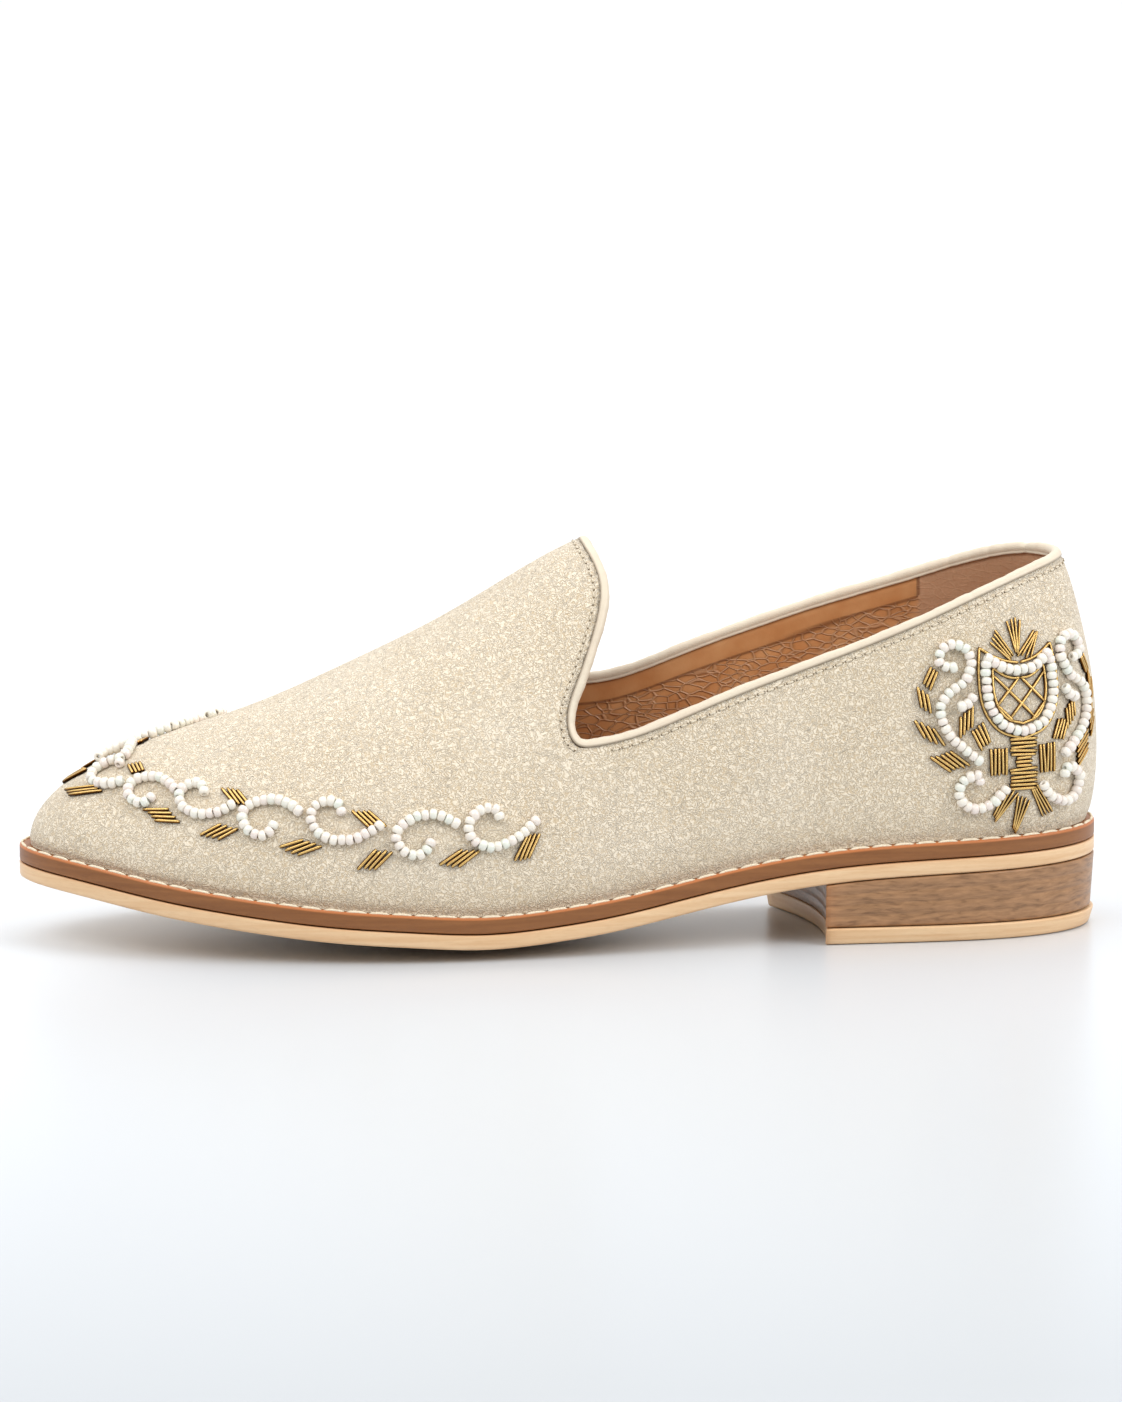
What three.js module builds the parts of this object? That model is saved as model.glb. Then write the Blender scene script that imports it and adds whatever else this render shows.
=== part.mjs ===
import * as THREE from "three";
import { mergeVertices } from "three/addons/utils/BufferGeometryUtils.js";

// An embellished slip-on loafer for a left foot, in millimetres, +Z up.
// The toe points to -X and the lateral side faces -Y.

// Driving dimensions of the sole.
const soleLength = 270;
const ballWidth = 88;
const waistWidth = 65;
const heelSeatWidth = 61;
const toeSpring = 15.9;
const heelRise = 18.1;
const ballCrown = 3.3;
const outsoleThickness = 3.7;
const midsoleThickness = 4.1;
const weltLedgeFront = 2.5;
const weltLedgeHeel = 1.8;
const treadEdgeRound = 0.6;
const weltEdgeBevel = 0.5;

// Driving dimensions of the heel.
const heelLength = 71.8;
const topLiftThickness = 4;
const heelTaper = 1.2;
const medialHeelTaper = 4;
const breastSkew = 7.6;
const breastHollow = 4.3;

// Driving dimensions of the upper and what lies in it.
const upperWall = 2.2;
const tongueHeight = 99;
const backHeight = 96.4;
const toePoleBack = 38;
const toePoleFade = 46;
const heelPoleFront = 27;
const heelPoleFade = 30;
const bindingHeight = 1.9;
const bindingOverhang = 0.45;
const insoleThickness = 2.4;
const insoleClearance = 0.6;
const seam = 0.3;
const seatSeam = 0.45;

// Faceting.
const ringSteps = 64;
const plateAcross = 6;
const heelRungs = 14;
const heelLanes = 8;
const vampColumns = 13;
const quarterColumns = 15;
const wallRows = 8;
const tongueRows = 11;

// Where the welt's ledge turns from its front to its heel width, as shares of the sole's length, and how far
// round the back the medial lift has faded, as the sine of the loop angle.
const ledgeTurn = { from: 0.6, to: 0.92 };
const liftFadeSine = 0.5;

// Where the roots of the topline and the tongue's edge are looked for, and how finely.
const climbBounds = { low: 0.1, high: 0.95 };
const throatAngles = { low: 0.8, high: 2.2 };
const tongueAngles = { low: 0.6, high: 2.4 };
const rootSteps = 50;
const slopeStep = 1e-3;
const outermostShare = 1e-4;
const samePoint = 1e-6;
const mergeDistance = 1e-4;

// Sections of the plan. Fullness is the half width divided by the sine of the loop angle, as a share of the
// width named in its row.
const planRows = [
  { at: 0.0, width: ballWidth, lateral: 0.557, medial: 0.557 },
  { at: 0.1, width: ballWidth, lateral: 0.568, medial: 0.612 },
  { at: 0.2, width: ballWidth, lateral: 0.575, medial: 0.57 },
  { at: 0.3, width: ballWidth, lateral: 0.561, medial: 0.525 },
  { at: 0.43, width: ballWidth, lateral: 0.505, medial: 0.414 },
  { at: 0.57, width: waistWidth, lateral: 0.575, medial: 0.435 },
  { at: 0.68, width: waistWidth, lateral: 0.541, medial: 0.455 },
  { at: 0.8, width: heelSeatWidth, lateral: 0.635, medial: 0.615 },
  { at: 0.9, width: heelSeatWidth, lateral: 0.762, medial: 0.779 },
  { at: 1.0, width: heelSeatWidth, lateral: 0.918, medial: 0.918 },
];

// The rocker of the sole on its centre line: shares of the toe spring, the heel rise and the ball's crown.
const rockerRows = [
  { at: 0.0, toe: 1, heel: 0, crown: 0 },
  { at: 0.05, toe: 0.86, heel: 0, crown: 0.17 },
  { at: 0.12, toe: 0.6, heel: 0, crown: 0.4 },
  { at: 0.2, toe: 0.36, heel: 0, crown: 0.6 },
  { at: 0.28, toe: 0.17, heel: 0, crown: 0.78 },
  { at: 0.35, toe: 0.055, heel: 0, crown: 0.92 },
  { at: 0.42, toe: -0.022, heel: 0, crown: 1 },
  { at: 0.48, toe: 0, heel: 0.055, crown: 0.9 },
  { at: 0.54, toe: 0, heel: 0.2, crown: 0.7 },
  { at: 0.6, toe: 0, heel: 0.415, crown: 0.47 },
  { at: 0.67, toe: 0, heel: 0.665, crown: 0.22 },
  { at: 0.75, toe: 0, heel: 0.865, crown: 0 },
  { at: 0.87, toe: 0, heel: 0.955, crown: 0 },
  { at: 1.0, toe: 0, heel: 1, crown: 0 },
];

// The ridge of the last, from the toe pole back: height as a share of the tongue's height, and sideways
// lean to the medial side as a share of the ball width. Behind the tongue it only guides the quarters.
const ridgeRows = [
  { at: 0.1, height: 0.478, lean: 0.012 },
  { at: 0.15, height: 0.52, lean: 0.02 },
  { at: 0.2, height: 0.562, lean: 0.03 },
  { at: 0.25, height: 0.612, lean: 0.038 },
  { at: 0.3, height: 0.671, lean: 0.043 },
  { at: 0.35, height: 0.736, lean: 0.045 },
  { at: 0.4, height: 0.808, lean: 0.043 },
  { at: 0.45, height: 0.888, lean: 0.038 },
  { at: 0.5, height: 0.966, lean: 0.032 },
  { at: 0.54, height: 1.015, lean: 0.027 },
  { at: 0.62, height: 1.08, lean: 0.018 },
  { at: 0.72, height: 1.13, lean: 0.008 },
  { at: 0.82, height: 1.15, lean: 0 },
  { at: 0.92, height: 1.15, lean: 0 },
];

// The wall between welt and ridge: how high its lower handle rises, as a share of the wall's height, how far
// it stands out, as a share of the ball width, and how far the upper handle reaches back from the ridge.
const wallSectionRows = [
  { at: 0.0, rise: 0.42, bulge: 0.0, reach: 0.6 },
  { at: 0.1, rise: 0.42, bulge: 0.01, reach: 0.54 },
  { at: 0.25, rise: 0.45, bulge: 0.023, reach: 0.55 },
  { at: 0.4, rise: 0.4, bulge: 0.034, reach: 0.52 },
  { at: 0.5, rise: 0.35, bulge: 0.037, reach: 0.48 },
  { at: 0.6, rise: 0.34, bulge: 0.041, reach: 0.6 },
  { at: 0.7, rise: 0.33, bulge: 0.046, reach: 0.7 },
  { at: 0.85, rise: 0.32, bulge: 0.057, reach: 0.75 },
  { at: 0.95, rise: 0.28, bulge: 0.085, reach: 0.74 },
  { at: 1.0, rise: 0.27, bulge: 0.092, reach: 0.74 },
];

// The top edge of the binding along the quarters: the lateral height and the medial side's extra lift, both as
// shares of the back height. The lift fades out round the back.
const toplineRows = [
  { at: 0.46, height: 0.546, lift: 0.088 },
  { at: 0.52, height: 0.553, lift: 0.083 },
  { at: 0.55, height: 0.568, lift: 0.075 },
  { at: 0.62, height: 0.637, lift: 0.073 },
  { at: 0.69, height: 0.709, lift: 0.07 },
  { at: 0.757, height: 0.774, lift: 0.064 },
  { at: 0.826, height: 0.847, lift: 0.045 },
  { at: 0.894, height: 0.925, lift: 0.027 },
  { at: 0.96, height: 0.982, lift: 0.011 },
  { at: 1.0, height: 1, lift: 0 },
];

// The tongue's edge from the bottom of the throat to the ridge: place along the sole, and climb of the wall.
const throatRows = [
  { at: 0.0, along: 0.516, climb: 0 },
  { at: 0.08, along: 0.5045, climb: 0.012 },
  { at: 0.16, along: 0.497, climb: 0.06 },
  { at: 0.25, along: 0.4965, climb: 0.14 },
  { at: 0.36, along: 0.507, climb: 0.235 },
  { at: 0.48, along: 0.52, climb: 0.35 },
  { at: 0.6, along: 0.53, climb: 0.47 },
  { at: 0.7, along: 0.5325, climb: 0.58 },
  { at: 0.8, along: 0.5275, climb: 0.71 },
  { at: 0.9, along: 0.521, climb: 0.86 },
  { at: 1.0, along: 0.519, climb: 1 },
];

// A natural cubic spline through one value of each row.
function spline(rows, value) {
  const x = rows.map((row) => row.at);
  const y = rows.map(value);
  const last = rows.length - 1;
  const bend = new Array(rows.length).fill(0);
  const carry = new Array(rows.length).fill(0);
  for (let i = 1; i < last; i++) {
    const span = x[i + 1] - x[i - 1];
    const share = (x[i] - x[i - 1]) / span;
    const pivot = share * bend[i - 1] + 2;
    const turn = (y[i + 1] - y[i]) / (x[i + 1] - x[i]) - (y[i] - y[i - 1]) / (x[i] - x[i - 1]);
    bend[i] = (share - 1) / pivot;
    carry[i] = ((6 * turn) / span - share * carry[i - 1]) / pivot;
  }
  bend[last] = 0;
  for (let i = last - 1; i >= 0; i--) bend[i] = bend[i] * bend[i + 1] + carry[i];
  return (at) => {
    const here = Math.min(Math.max(at, x[0]), x[last]);
    let i = 0;
    while (i < last - 1 && here > x[i + 1]) i++;
    const step = x[i + 1] - x[i];
    const a = (x[i + 1] - here) / step;
    const b = 1 - a;
    const sag = ((a ** 3 - a) * bend[i] + (b ** 3 - b) * bend[i + 1]) * (step ** 2 / 6);
    return a * y[i] + b * y[i + 1] + sag;
  };
}

// The root of a rising function between two bounds.
function solve(rising, bounds) {
  let from = bounds.low;
  let to = bounds.high;
  for (let i = 0; i < rootSteps; i++) {
    const middle = (from + to) / 2;
    if (rising(middle) < 0) from = middle;
    else to = middle;
  }
  return (from + to) / 2;
}

const lateralFullness = spline(planRows, (row) => row.lateral * row.width);
const medialFullness = spline(planRows, (row) => row.medial * row.width);
const rocker = spline(rockerRows, (row) => row.toe * toeSpring + row.heel * heelRise);
const crown = spline(rockerRows, (row) => row.crown * ballCrown);
const ridgeHeight = spline(ridgeRows, (row) => row.height * tongueHeight);
const ridgeLean = spline(ridgeRows, (row) => row.lean * ballWidth);
const wallRise = spline(wallSectionRows, (row) => row.rise);
const wallBulge = spline(wallSectionRows, (row) => row.bulge * ballWidth);
const wallReach = spline(wallSectionRows, (row) => row.reach);
const toplineHeight = spline(toplineRows, (row) => row.height * backHeight);
const medialLift = spline(toplineRows, (row) => row.lift * backHeight);
const throatAlong = spline(throatRows, (row) => row.along);
const throatClimb = spline(throatRows, (row) => row.climb);

const shareOf = (x) => x / soleLength + 0.5;
const placeOf = (share) => (share - 0.5) * soleLength;
const alongLoop = (angle) => (1 - Math.cos(angle)) / 2;

// The sole's outline in plan. The angle is 0 at the toe tip and PI at the back, by way of the lateral side.
function outline(angle) {
  const share = alongLoop(angle);
  const fullness = Math.sin(angle) > 0 ? lateralFullness : medialFullness;
  return new THREE.Vector2(placeOf(share), -Math.sin(angle) * fullness(share));
}

// The outward direction of the outline in plan.
function outwards(angle) {
  const run = outline(angle + slopeStep).sub(outline(angle - slopeStep));
  return new THREE.Vector2(run.y, -run.x).normalize();
}

const inset = (angle, distance) => outline(angle).addScaledVector(outwards(angle), -distance);

// The underside of the sole before the floor flattens it, and the levels stacked on it.
function tread(x, y) {
  const share = Math.min(Math.max(shareOf(x), outermostShare), 1 - outermostShare);
  const fullness = y < 0 ? lateralFullness : medialFullness;
  const halfWidth = 2 * Math.sqrt(share * (1 - share)) * fullness(share);
  const across = Math.min(Math.abs(y) / halfWidth, 1);
  return rocker(share) + crown(share) * across ** 2;
}
const treadOnFloor = (x, y) => Math.max(0, tread(x, y));
const raised = (height) => (x, y) => tread(x, y) + height;
const midsoleBase = outsoleThickness + seam;
const seatBase = midsoleBase + midsoleThickness + seatSeam;

// How far the welt stands out beyond the upper.
function ledge(angle) {
  const share = THREE.MathUtils.smoothstep(alongLoop(angle), ledgeTurn.from, ledgeTurn.to);
  return weltLedgeFront + (weltLedgeHeel - weltLedgeFront) * share;
}

// Triangles gathered into one closed body.
class Surface {
  constructor() {
    this.corners = [];
  }
  triangle(a, b, c) {
    if (Math.min(a.distanceTo(b), b.distanceTo(c), c.distanceTo(a)) < samePoint) return;
    this.corners.push(...a, ...b, ...c);
  }
  quad(a, b, c, d) {
    this.triangle(a, b, c);
    this.triangle(a, c, d);
  }
  // A grid of points, whose face looks along the cross product of the row and column directions.
  grid(rows, columns, point) {
    for (let i = 0; i < rows; i++)
      for (let j = 0; j < columns; j++)
        this.quad(point(i, j), point(i + 1, j), point(i + 1, j + 1), point(i, j + 1));
  }
  geometry() {
    const made = new THREE.BufferGeometry();
    made.setAttribute("position", new THREE.Float32BufferAttribute(this.corners, 3));
    made.computeVertexNormals();
    return made;
  }
}

const ringAngle = (step) => (2 * Math.PI * step) / ringSteps;
const raise = (flat, height) => new THREE.Vector3(flat.x, flat.y, height);

// A sole layer: its side is given as rings of inset and level from the bottom up.
function plate(rings) {
  const made = new Surface();
  const onRing = (ring, step) => {
    const flat = inset(ringAngle(step % ringSteps), ring.inset(ringAngle(step % ringSteps)));
    return raise(flat, ring.level(flat.x, flat.y));
  };
  const onFace = (ring, rung, lane) => {
    const lateral = onRing(ring, rung);
    const medial = onRing(ring, ringSteps - rung);
    if (lane === 0) return lateral;
    if (lane === plateAcross || rung % (ringSteps / 2) === 0) return medial;
    const flat = lateral.clone().lerp(medial, lane / plateAcross);
    return raise(flat, ring.level(flat.x, flat.y));
  };
  const half = ringSteps / 2;
  const bottom = rings[0];
  const top = rings[rings.length - 1];
  made.grid(half, plateAcross, (i, j) => onFace(top, i, j));
  made.grid(plateAcross, half, (i, j) => onFace(bottom, j, i));
  made.grid(ringSteps, rings.length - 1, (i, j) => onRing(rings[j], i));
  return made.geometry();
}

// The heel in plan: rungs run from the breast to the back, lanes from lateral to medial.
const angleAt = (share) => Math.acos(1 - 2 * share);
const lateralBreastAngle = angleAt(1 - heelLength / soleLength);
const medialBreastAngle = angleAt(1 - (heelLength + breastSkew) / soleLength);
function heelPlan(rung, lane, taper, medialTaper) {
  const back = rung / heelRungs;
  const across = lane / heelLanes;
  if (rung === heelRungs) return inset(Math.PI, taper);
  const lateral = inset(THREE.MathUtils.lerp(lateralBreastAngle, Math.PI, back), taper);
  const medial = inset(-THREE.MathUtils.lerp(medialBreastAngle, Math.PI, back), medialTaper);
  const flat = lateral.lerp(medial, across);
  flat.x += breastHollow * 4 * across * (1 - across) * (1 - back) ** 2;
  return flat;
}

// A heel piece between two levels, with its own tapers below and above.
function heelPiece(low, high) {
  const made = new Surface();
  const at = (part, rung, lane) => {
    const flat = heelPlan(rung, lane, part.taper, part.medialTaper(rung / heelRungs));
    return raise(flat, part.level(flat.x, flat.y));
  };
  made.grid(heelRungs, heelLanes, (i, j) => at(high, i, j));
  made.grid(heelLanes, heelRungs, (i, j) => at(low, j, i));
  const wall = (lane) => (i, j) => at(j ? high : low, i, lane);
  made.grid(heelRungs, 1, wall(0));
  made.grid(heelRungs, 1, (i, j) => at(j ? high : low, heelRungs - i, heelLanes));
  made.grid(heelLanes, 1, (i, j) => at(j ? high : low, 0, heelLanes - i));
  return made.geometry();
}

// The last: a wall of cubic curves from the welt up to the ridge. The angle runs round the welt, the climb
// from 0 at the welt to 1 on the ridge.
function last(angle, climb) {
  const share = alongLoop(angle);
  const flatFoot = inset(angle, ledge(angle));
  const foot = raise(flatFoot, tread(flatFoot.x, flatFoot.y) + seatBase);
  const middle = placeOf(share);
  const ridgeX =
    middle +
    toePoleBack * Math.exp(-(middle - placeOf(0)) / toePoleFade) -
    heelPoleFront * Math.exp(-(placeOf(1) - middle) / heelPoleFade);
  const ridgeShare = shareOf(ridgeX);
  const rise = ridgeHeight(ridgeShare + slopeStep) - ridgeHeight(ridgeShare - slopeStep);
  const slope = rise / (2 * slopeStep * soleLength);
  const ridge = new THREE.Vector3(ridgeX, ridgeLean(ridgeShare), ridgeHeight(ridgeShare));
  const out = outwards(angle);
  const lower = foot.clone();
  lower.x += out.x * wallBulge(share);
  lower.y += out.y * wallBulge(share);
  lower.z += (ridge.z - foot.z) * wallRise(share);
  const run = new THREE.Vector2(foot.x - ridge.x, foot.y - ridge.y).multiplyScalar(wallReach(share));
  const upper = new THREE.Vector3(ridge.x + run.x, ridge.y + run.y, ridge.z + run.x * slope);
  const rest = 1 - climb;
  return new THREE.Vector3()
    .addScaledVector(foot, rest ** 3)
    .addScaledVector(lower, 3 * rest ** 2 * climb)
    .addScaledVector(upper, 3 * rest * climb ** 2)
    .addScaledVector(ridge, climb ** 3);
}

// One side of the upper: where its topline cuts the wall, and where its tongue ends.
class Side {
  constructor(sign) {
    this.sign = sign;
    const throatX = placeOf(throatAlong(0));
    this.throatAngle = solve((angle) => this.at(angle, this.cut(angle)).x - throatX, throatAngles);
    this.throatCut = this.cut(this.throatAngle);
  }
  at(angle, climb) {
    return last(this.sign * angle, climb);
  }
  cut(angle) {
    const liftFade = this.sign > 0 ? 0 : THREE.MathUtils.smoothstep(Math.sin(angle), 0, liftFadeSine);
    const over = (climb) => {
      const point = this.at(angle, climb);
      const share = shareOf(point.x);
      return point.z - toplineHeight(share) - medialLift(share) * liftFade + bindingHeight + seam;
    };
    return solve(over, climbBounds);
  }
  // The climb of each row at the throat, and so at the toe once both sides share one cut.
  rowClimb(row, cut) {
    if (row <= wallRows) return (cut * row) / wallRows;
    return cut + (1 - cut) * throatClimb((row - wallRows) / tongueRows);
  }
  // The vamp and tongue: columns from the toe to the throat, rows from the welt to the ridge.
  vamp(column, row, toeCut) {
    const share = column / vampColumns;
    const edgeClimb = this.rowClimb(row, this.throatCut);
    const edgeX = placeOf(throatAlong((row - wallRows) / tongueRows));
    const onTongue = row > wallRows;
    const pastEdge = (angle) => this.at(angle, edgeClimb).x - edgeX;
    const edge = onTongue ? solve(pastEdge, tongueAngles) : this.throatAngle;
    return this.at(edge * share, THREE.MathUtils.lerp(this.rowClimb(row, toeCut), edgeClimb, share));
  }
  quarter(column, row) {
    const angle = this.throatAngle + ((Math.PI - this.throatAngle) * column) / quarterColumns;
    return this.at(angle, (this.cut(angle) * row) / wallRows);
  }
}

const lateralSide = new Side(1);
const medialSide = new Side(-1);
const toeCut = (lateralSide.throatCut + medialSide.throatCut) / 2;

// The outer skin of the upper, as one sheet with merged vertices.
function upperSkin() {
  const made = new Surface();
  for (const side of [lateralSide, medialSide]) {
    const turned = side.sign > 0;
    const panel = (columns, rows, point) => {
      if (turned) made.grid(columns, rows, point);
      else made.grid(rows, columns, (i, j) => point(j, i));
    };
    panel(vampColumns, wallRows + tongueRows, (i, j) => side.vamp(i, j, toeCut));
    panel(quarterColumns, wallRows, (i, j) => side.quarter(i, j));
  }
  const loose = made.geometry();
  loose.deleteAttribute("normal");
  const skin = mergeVertices(loose, mergeDistance);
  skin.computeVertexNormals();
  return skin;
}

// The skin's two edges as ordered rings of vertex numbers: the welt's and the collar's.
function edgeRings(skin) {
  const index = skin.index.array;
  const onward = new Map();
  const key = (a, b) => `${a} ${b}`;
  const edges = new Map();
  for (let i = 0; i < index.length; i += 3)
    for (const turn of [0, 1, 2]) {
      const a = index[i + turn];
      const b = index[i + ((turn + 1) % 3)];
      edges.set(key(a, b), [a, b]);
    }
  for (const [a, b] of edges.values()) if (!edges.has(key(b, a))) onward.set(a, b);
  const rings = [];
  while (onward.size) {
    const ring = [onward.keys().next().value];
    while (onward.has(ring[ring.length - 1])) {
      const here = ring[ring.length - 1];
      const next = onward.get(here);
      onward.delete(here);
      if (next !== ring[0]) ring.push(next);
      else break;
    }
    rings.push(ring);
  }
  return rings;
}

const vectorAt = (attribute, i) => new THREE.Vector3().fromBufferAttribute(attribute, i);

// The upper's wall: its skin, the lining side that lies one wall inside it, and the rims between them.
function upperWallModel() {
  const skin = upperSkin();
  const rings = edgeRings(skin);
  const outer = [];
  const inner = [];
  for (let i = 0; i < skin.attributes.position.count; i++) {
    outer.push(vectorAt(skin.attributes.position, i));
    inner.push(outer[i].clone().addScaledVector(vectorAt(skin.attributes.normal, i), -upperWall));
  }
  const lowest = (ring) => Math.min(...ring.map((i) => outer[i].z));
  rings.sort((a, b) => lowest(a) - lowest(b));
  const [weltRing, collarRing] = rings;
  for (const i of weltRing) {
    const across = vectorAt(skin.attributes.normal, i).setZ(0).normalize();
    inner[i].copy(outer[i]).addScaledVector(across, -upperWall);
    inner[i].z = tread(inner[i].x, inner[i].y) + seatBase;
  }
  return { index: skin.index.array, outer, inner, weltRing, collarRing };
}
const upperModel = upperWallModel();

function upperGeometry() {
  const made = new Surface();
  const { index, outer, inner } = upperModel;
  for (let i = 0; i < index.length; i += 3) {
    const [a, b, c] = [index[i], index[i + 1], index[i + 2]];
    made.triangle(outer[a], outer[b], outer[c]);
    made.triangle(inner[a], inner[c], inner[b]);
  }
  for (const ring of [upperModel.weltRing, upperModel.collarRing])
    ring.forEach((a, i) => {
      const b = ring[(i + 1) % ring.length];
      made.quad(outer[b], outer[a], inner[a], inner[b]);
    });
  return made.geometry();
}

// The binding's section over the edge of the wall: out from the middle of the wall, and up from its edge.
const bindingHalf = upperWall / 2 + bindingOverhang;
const bindingSection = [
  { out: 1, up: 0 },
  { out: 1, up: 0.5 },
  { out: 0.72, up: 0.88 },
  { out: 0, up: 1 },
  { out: -0.72, up: 0.88 },
  { out: -1, up: 0.5 },
  { out: -1, up: 0 },
];
function bindingGeometry() {
  const made = new Surface();
  const { outer, inner, collarRing } = upperModel;
  const count = collarRing.length;
  const middle = (i) => {
    const vertex = collarRing[(i + count) % count];
    return outer[vertex].clone().add(inner[vertex]).multiplyScalar(0.5);
  };
  const point = (i, j) => {
    const vertex = collarRing[i % count];
    const run = middle(i + 1).sub(middle(i - 1)).normalize();
    const out = outer[vertex].clone().sub(inner[vertex]).normalize();
    const away = run.clone().cross(out).normalize();
    const corner = bindingSection[j % bindingSection.length];
    return middle(i)
      .addScaledVector(out, corner.out * bindingHalf)
      .addScaledVector(away, seam + corner.up * bindingHeight);
  };
  made.grid(bindingSection.length, count, (i, j) => point(j, i));
  return made.geometry();
}

const flush = () => 0;
const outsole = plate([
  { inset: () => treadEdgeRound, level: treadOnFloor },
  { inset: flush, level: (x, y) => treadOnFloor(x, y) + treadEdgeRound },
  { inset: flush, level: raised(outsoleThickness) },
]);
const midsole = plate([
  { inset: flush, level: raised(midsoleBase) },
  { inset: flush, level: raised(midsoleBase + midsoleThickness - weltEdgeBevel) },
  { inset: () => weltEdgeBevel, level: raised(midsoleBase + midsoleThickness) },
]);
const insoleInset = (angle) => ledge(angle) + upperWall + insoleClearance;
const insole = plate([
  { inset: insoleInset, level: raised(seatBase) },
  { inset: insoleInset, level: raised(seatBase + insoleThickness) },
]);

// The heel's sides lean in towards the floor, the medial side most at the breast.
const heelTop = { taper: 0, medialTaper: () => 0, level: raised(-seam) };
const leaning = (share) => ({
  taper: heelTaper * share,
  medialTaper: (back) => (heelTaper + (medialHeelTaper - heelTaper) * (1 - back)) * share,
});
const aboveLift = leaning(1 - topLiftThickness / heelRise);
const heelStack = heelPiece({ ...aboveLift, level: () => topLiftThickness + seam }, heelTop);
const topLift = heelPiece({ ...leaning(1), level: () => 0 }, { ...aboveLift, level: () => topLiftThickness });

const finishes = {
  outsole: { color: 0xe2c096, roughness: 0.55 },
  midsole: { color: 0x8f6240, roughness: 0.5 },
  heel: { color: 0x967a60, roughness: 0.55 },
  suede: { color: 0xe4d9c0, roughness: 0.95 },
  binding: { color: 0xefe6d2, roughness: 0.6 },
  insole: { color: 0xa87a52, roughness: 0.7 },
};

const shoe = new THREE.Group();
function add(name, geometry, finish) {
  const material = new THREE.MeshStandardMaterial({ ...finish, metalness: 0 });
  const mesh = new THREE.Mesh(geometry, material);
  mesh.name = name;
  shoe.add(mesh);
}

add("outsole", outsole, finishes.outsole);
add("midsole", midsole, finishes.midsole);
add("heel_stack", heelStack, finishes.heel);
add("top_lift", topLift, finishes.outsole);
add("insole", insole, finishes.insole);
add("upper", upperGeometry(), finishes.suede);
add("collar_binding", bindingGeometry(), finishes.binding);

// The origin is the middle of the shoe's own box, on the floor.
const box = new THREE.Box3().setFromObject(shoe);
const centre = box.getCenter(new THREE.Vector3());
shoe.position.set(-centre.x, -centre.y, -box.min.z);
const group = new THREE.Group();
group.add(shoe);

export default group;
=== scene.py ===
"""An embellished slip-on loafer for a left foot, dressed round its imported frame.

The shoe's own frame is in millimetres with the toe at -X, the lateral side at -Y and the floor at 0.
"""

import logging
import math
from dataclasses import dataclass, field
from enum import Enum
from typing import Callable, NamedTuple, Sequence

import bmesh
import bpy
import numpy as np
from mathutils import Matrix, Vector


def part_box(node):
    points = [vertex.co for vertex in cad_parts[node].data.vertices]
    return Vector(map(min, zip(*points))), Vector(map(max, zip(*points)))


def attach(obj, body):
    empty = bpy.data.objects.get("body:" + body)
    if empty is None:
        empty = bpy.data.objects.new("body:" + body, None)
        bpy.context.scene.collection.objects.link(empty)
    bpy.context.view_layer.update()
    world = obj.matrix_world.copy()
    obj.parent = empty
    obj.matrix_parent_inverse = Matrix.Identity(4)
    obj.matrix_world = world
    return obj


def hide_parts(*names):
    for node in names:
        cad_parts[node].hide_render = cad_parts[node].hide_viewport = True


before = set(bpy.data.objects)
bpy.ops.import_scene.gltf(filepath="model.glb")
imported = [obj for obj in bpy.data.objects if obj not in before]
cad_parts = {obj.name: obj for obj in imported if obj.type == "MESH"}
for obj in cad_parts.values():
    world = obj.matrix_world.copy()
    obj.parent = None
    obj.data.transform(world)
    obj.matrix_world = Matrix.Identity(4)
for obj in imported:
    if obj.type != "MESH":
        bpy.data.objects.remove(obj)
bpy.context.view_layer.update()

LOG = logging.getLogger("loafer")
MM = 0.001
NUDGE = 1e-3  # A small step in a loop angle, a climb or a share, for slopes
TURNED = [0, 3, 2, 1]  # A quad's corners in the order that turns it over

Array = np.ndarray
Profile = Callable[[Array], Array]
Points = tuple[tuple[float, float], ...]
Socket = bpy.types.NodeSocket
Colour = tuple[float, float, float]


class PlanRow(NamedTuple):
    """The sole's fullness at one place along it, as shares of a named width on its two sides."""

    at: float
    width: str
    lateral: float
    medial: float


class RockerRow(NamedTuple):
    """Shares of the toe spring, the heel rise and the ball's crown at one place along the sole."""

    at: float
    toe: float
    heel: float
    crown: float


class RidgeRow(NamedTuple):
    """The last's ridge: height as a share of the tongue's height, lean as a share of the ball width."""

    at: float
    height: float
    lean: float


class WallRow(NamedTuple):
    """The wall's section: the lower handle's rise and bulge, and the upper handle's reach from the ridge."""

    at: float
    rise: float
    bulge: float
    reach: float


class ToplineRow(NamedTuple):
    """The collar's height and the medial side's extra lift, as shares of the back height."""

    at: float
    height: float
    lift: float


class ThroatRow(NamedTuple):
    """The tongue's edge: its place along the sole and its climb from the throat to the ridge."""

    at: float
    along: float
    climb: float


def table(kind: type, *rows: tuple) -> tuple:
    """Returns a table of rows of one kind."""
    return tuple(kind(*row) for row in rows)


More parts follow.
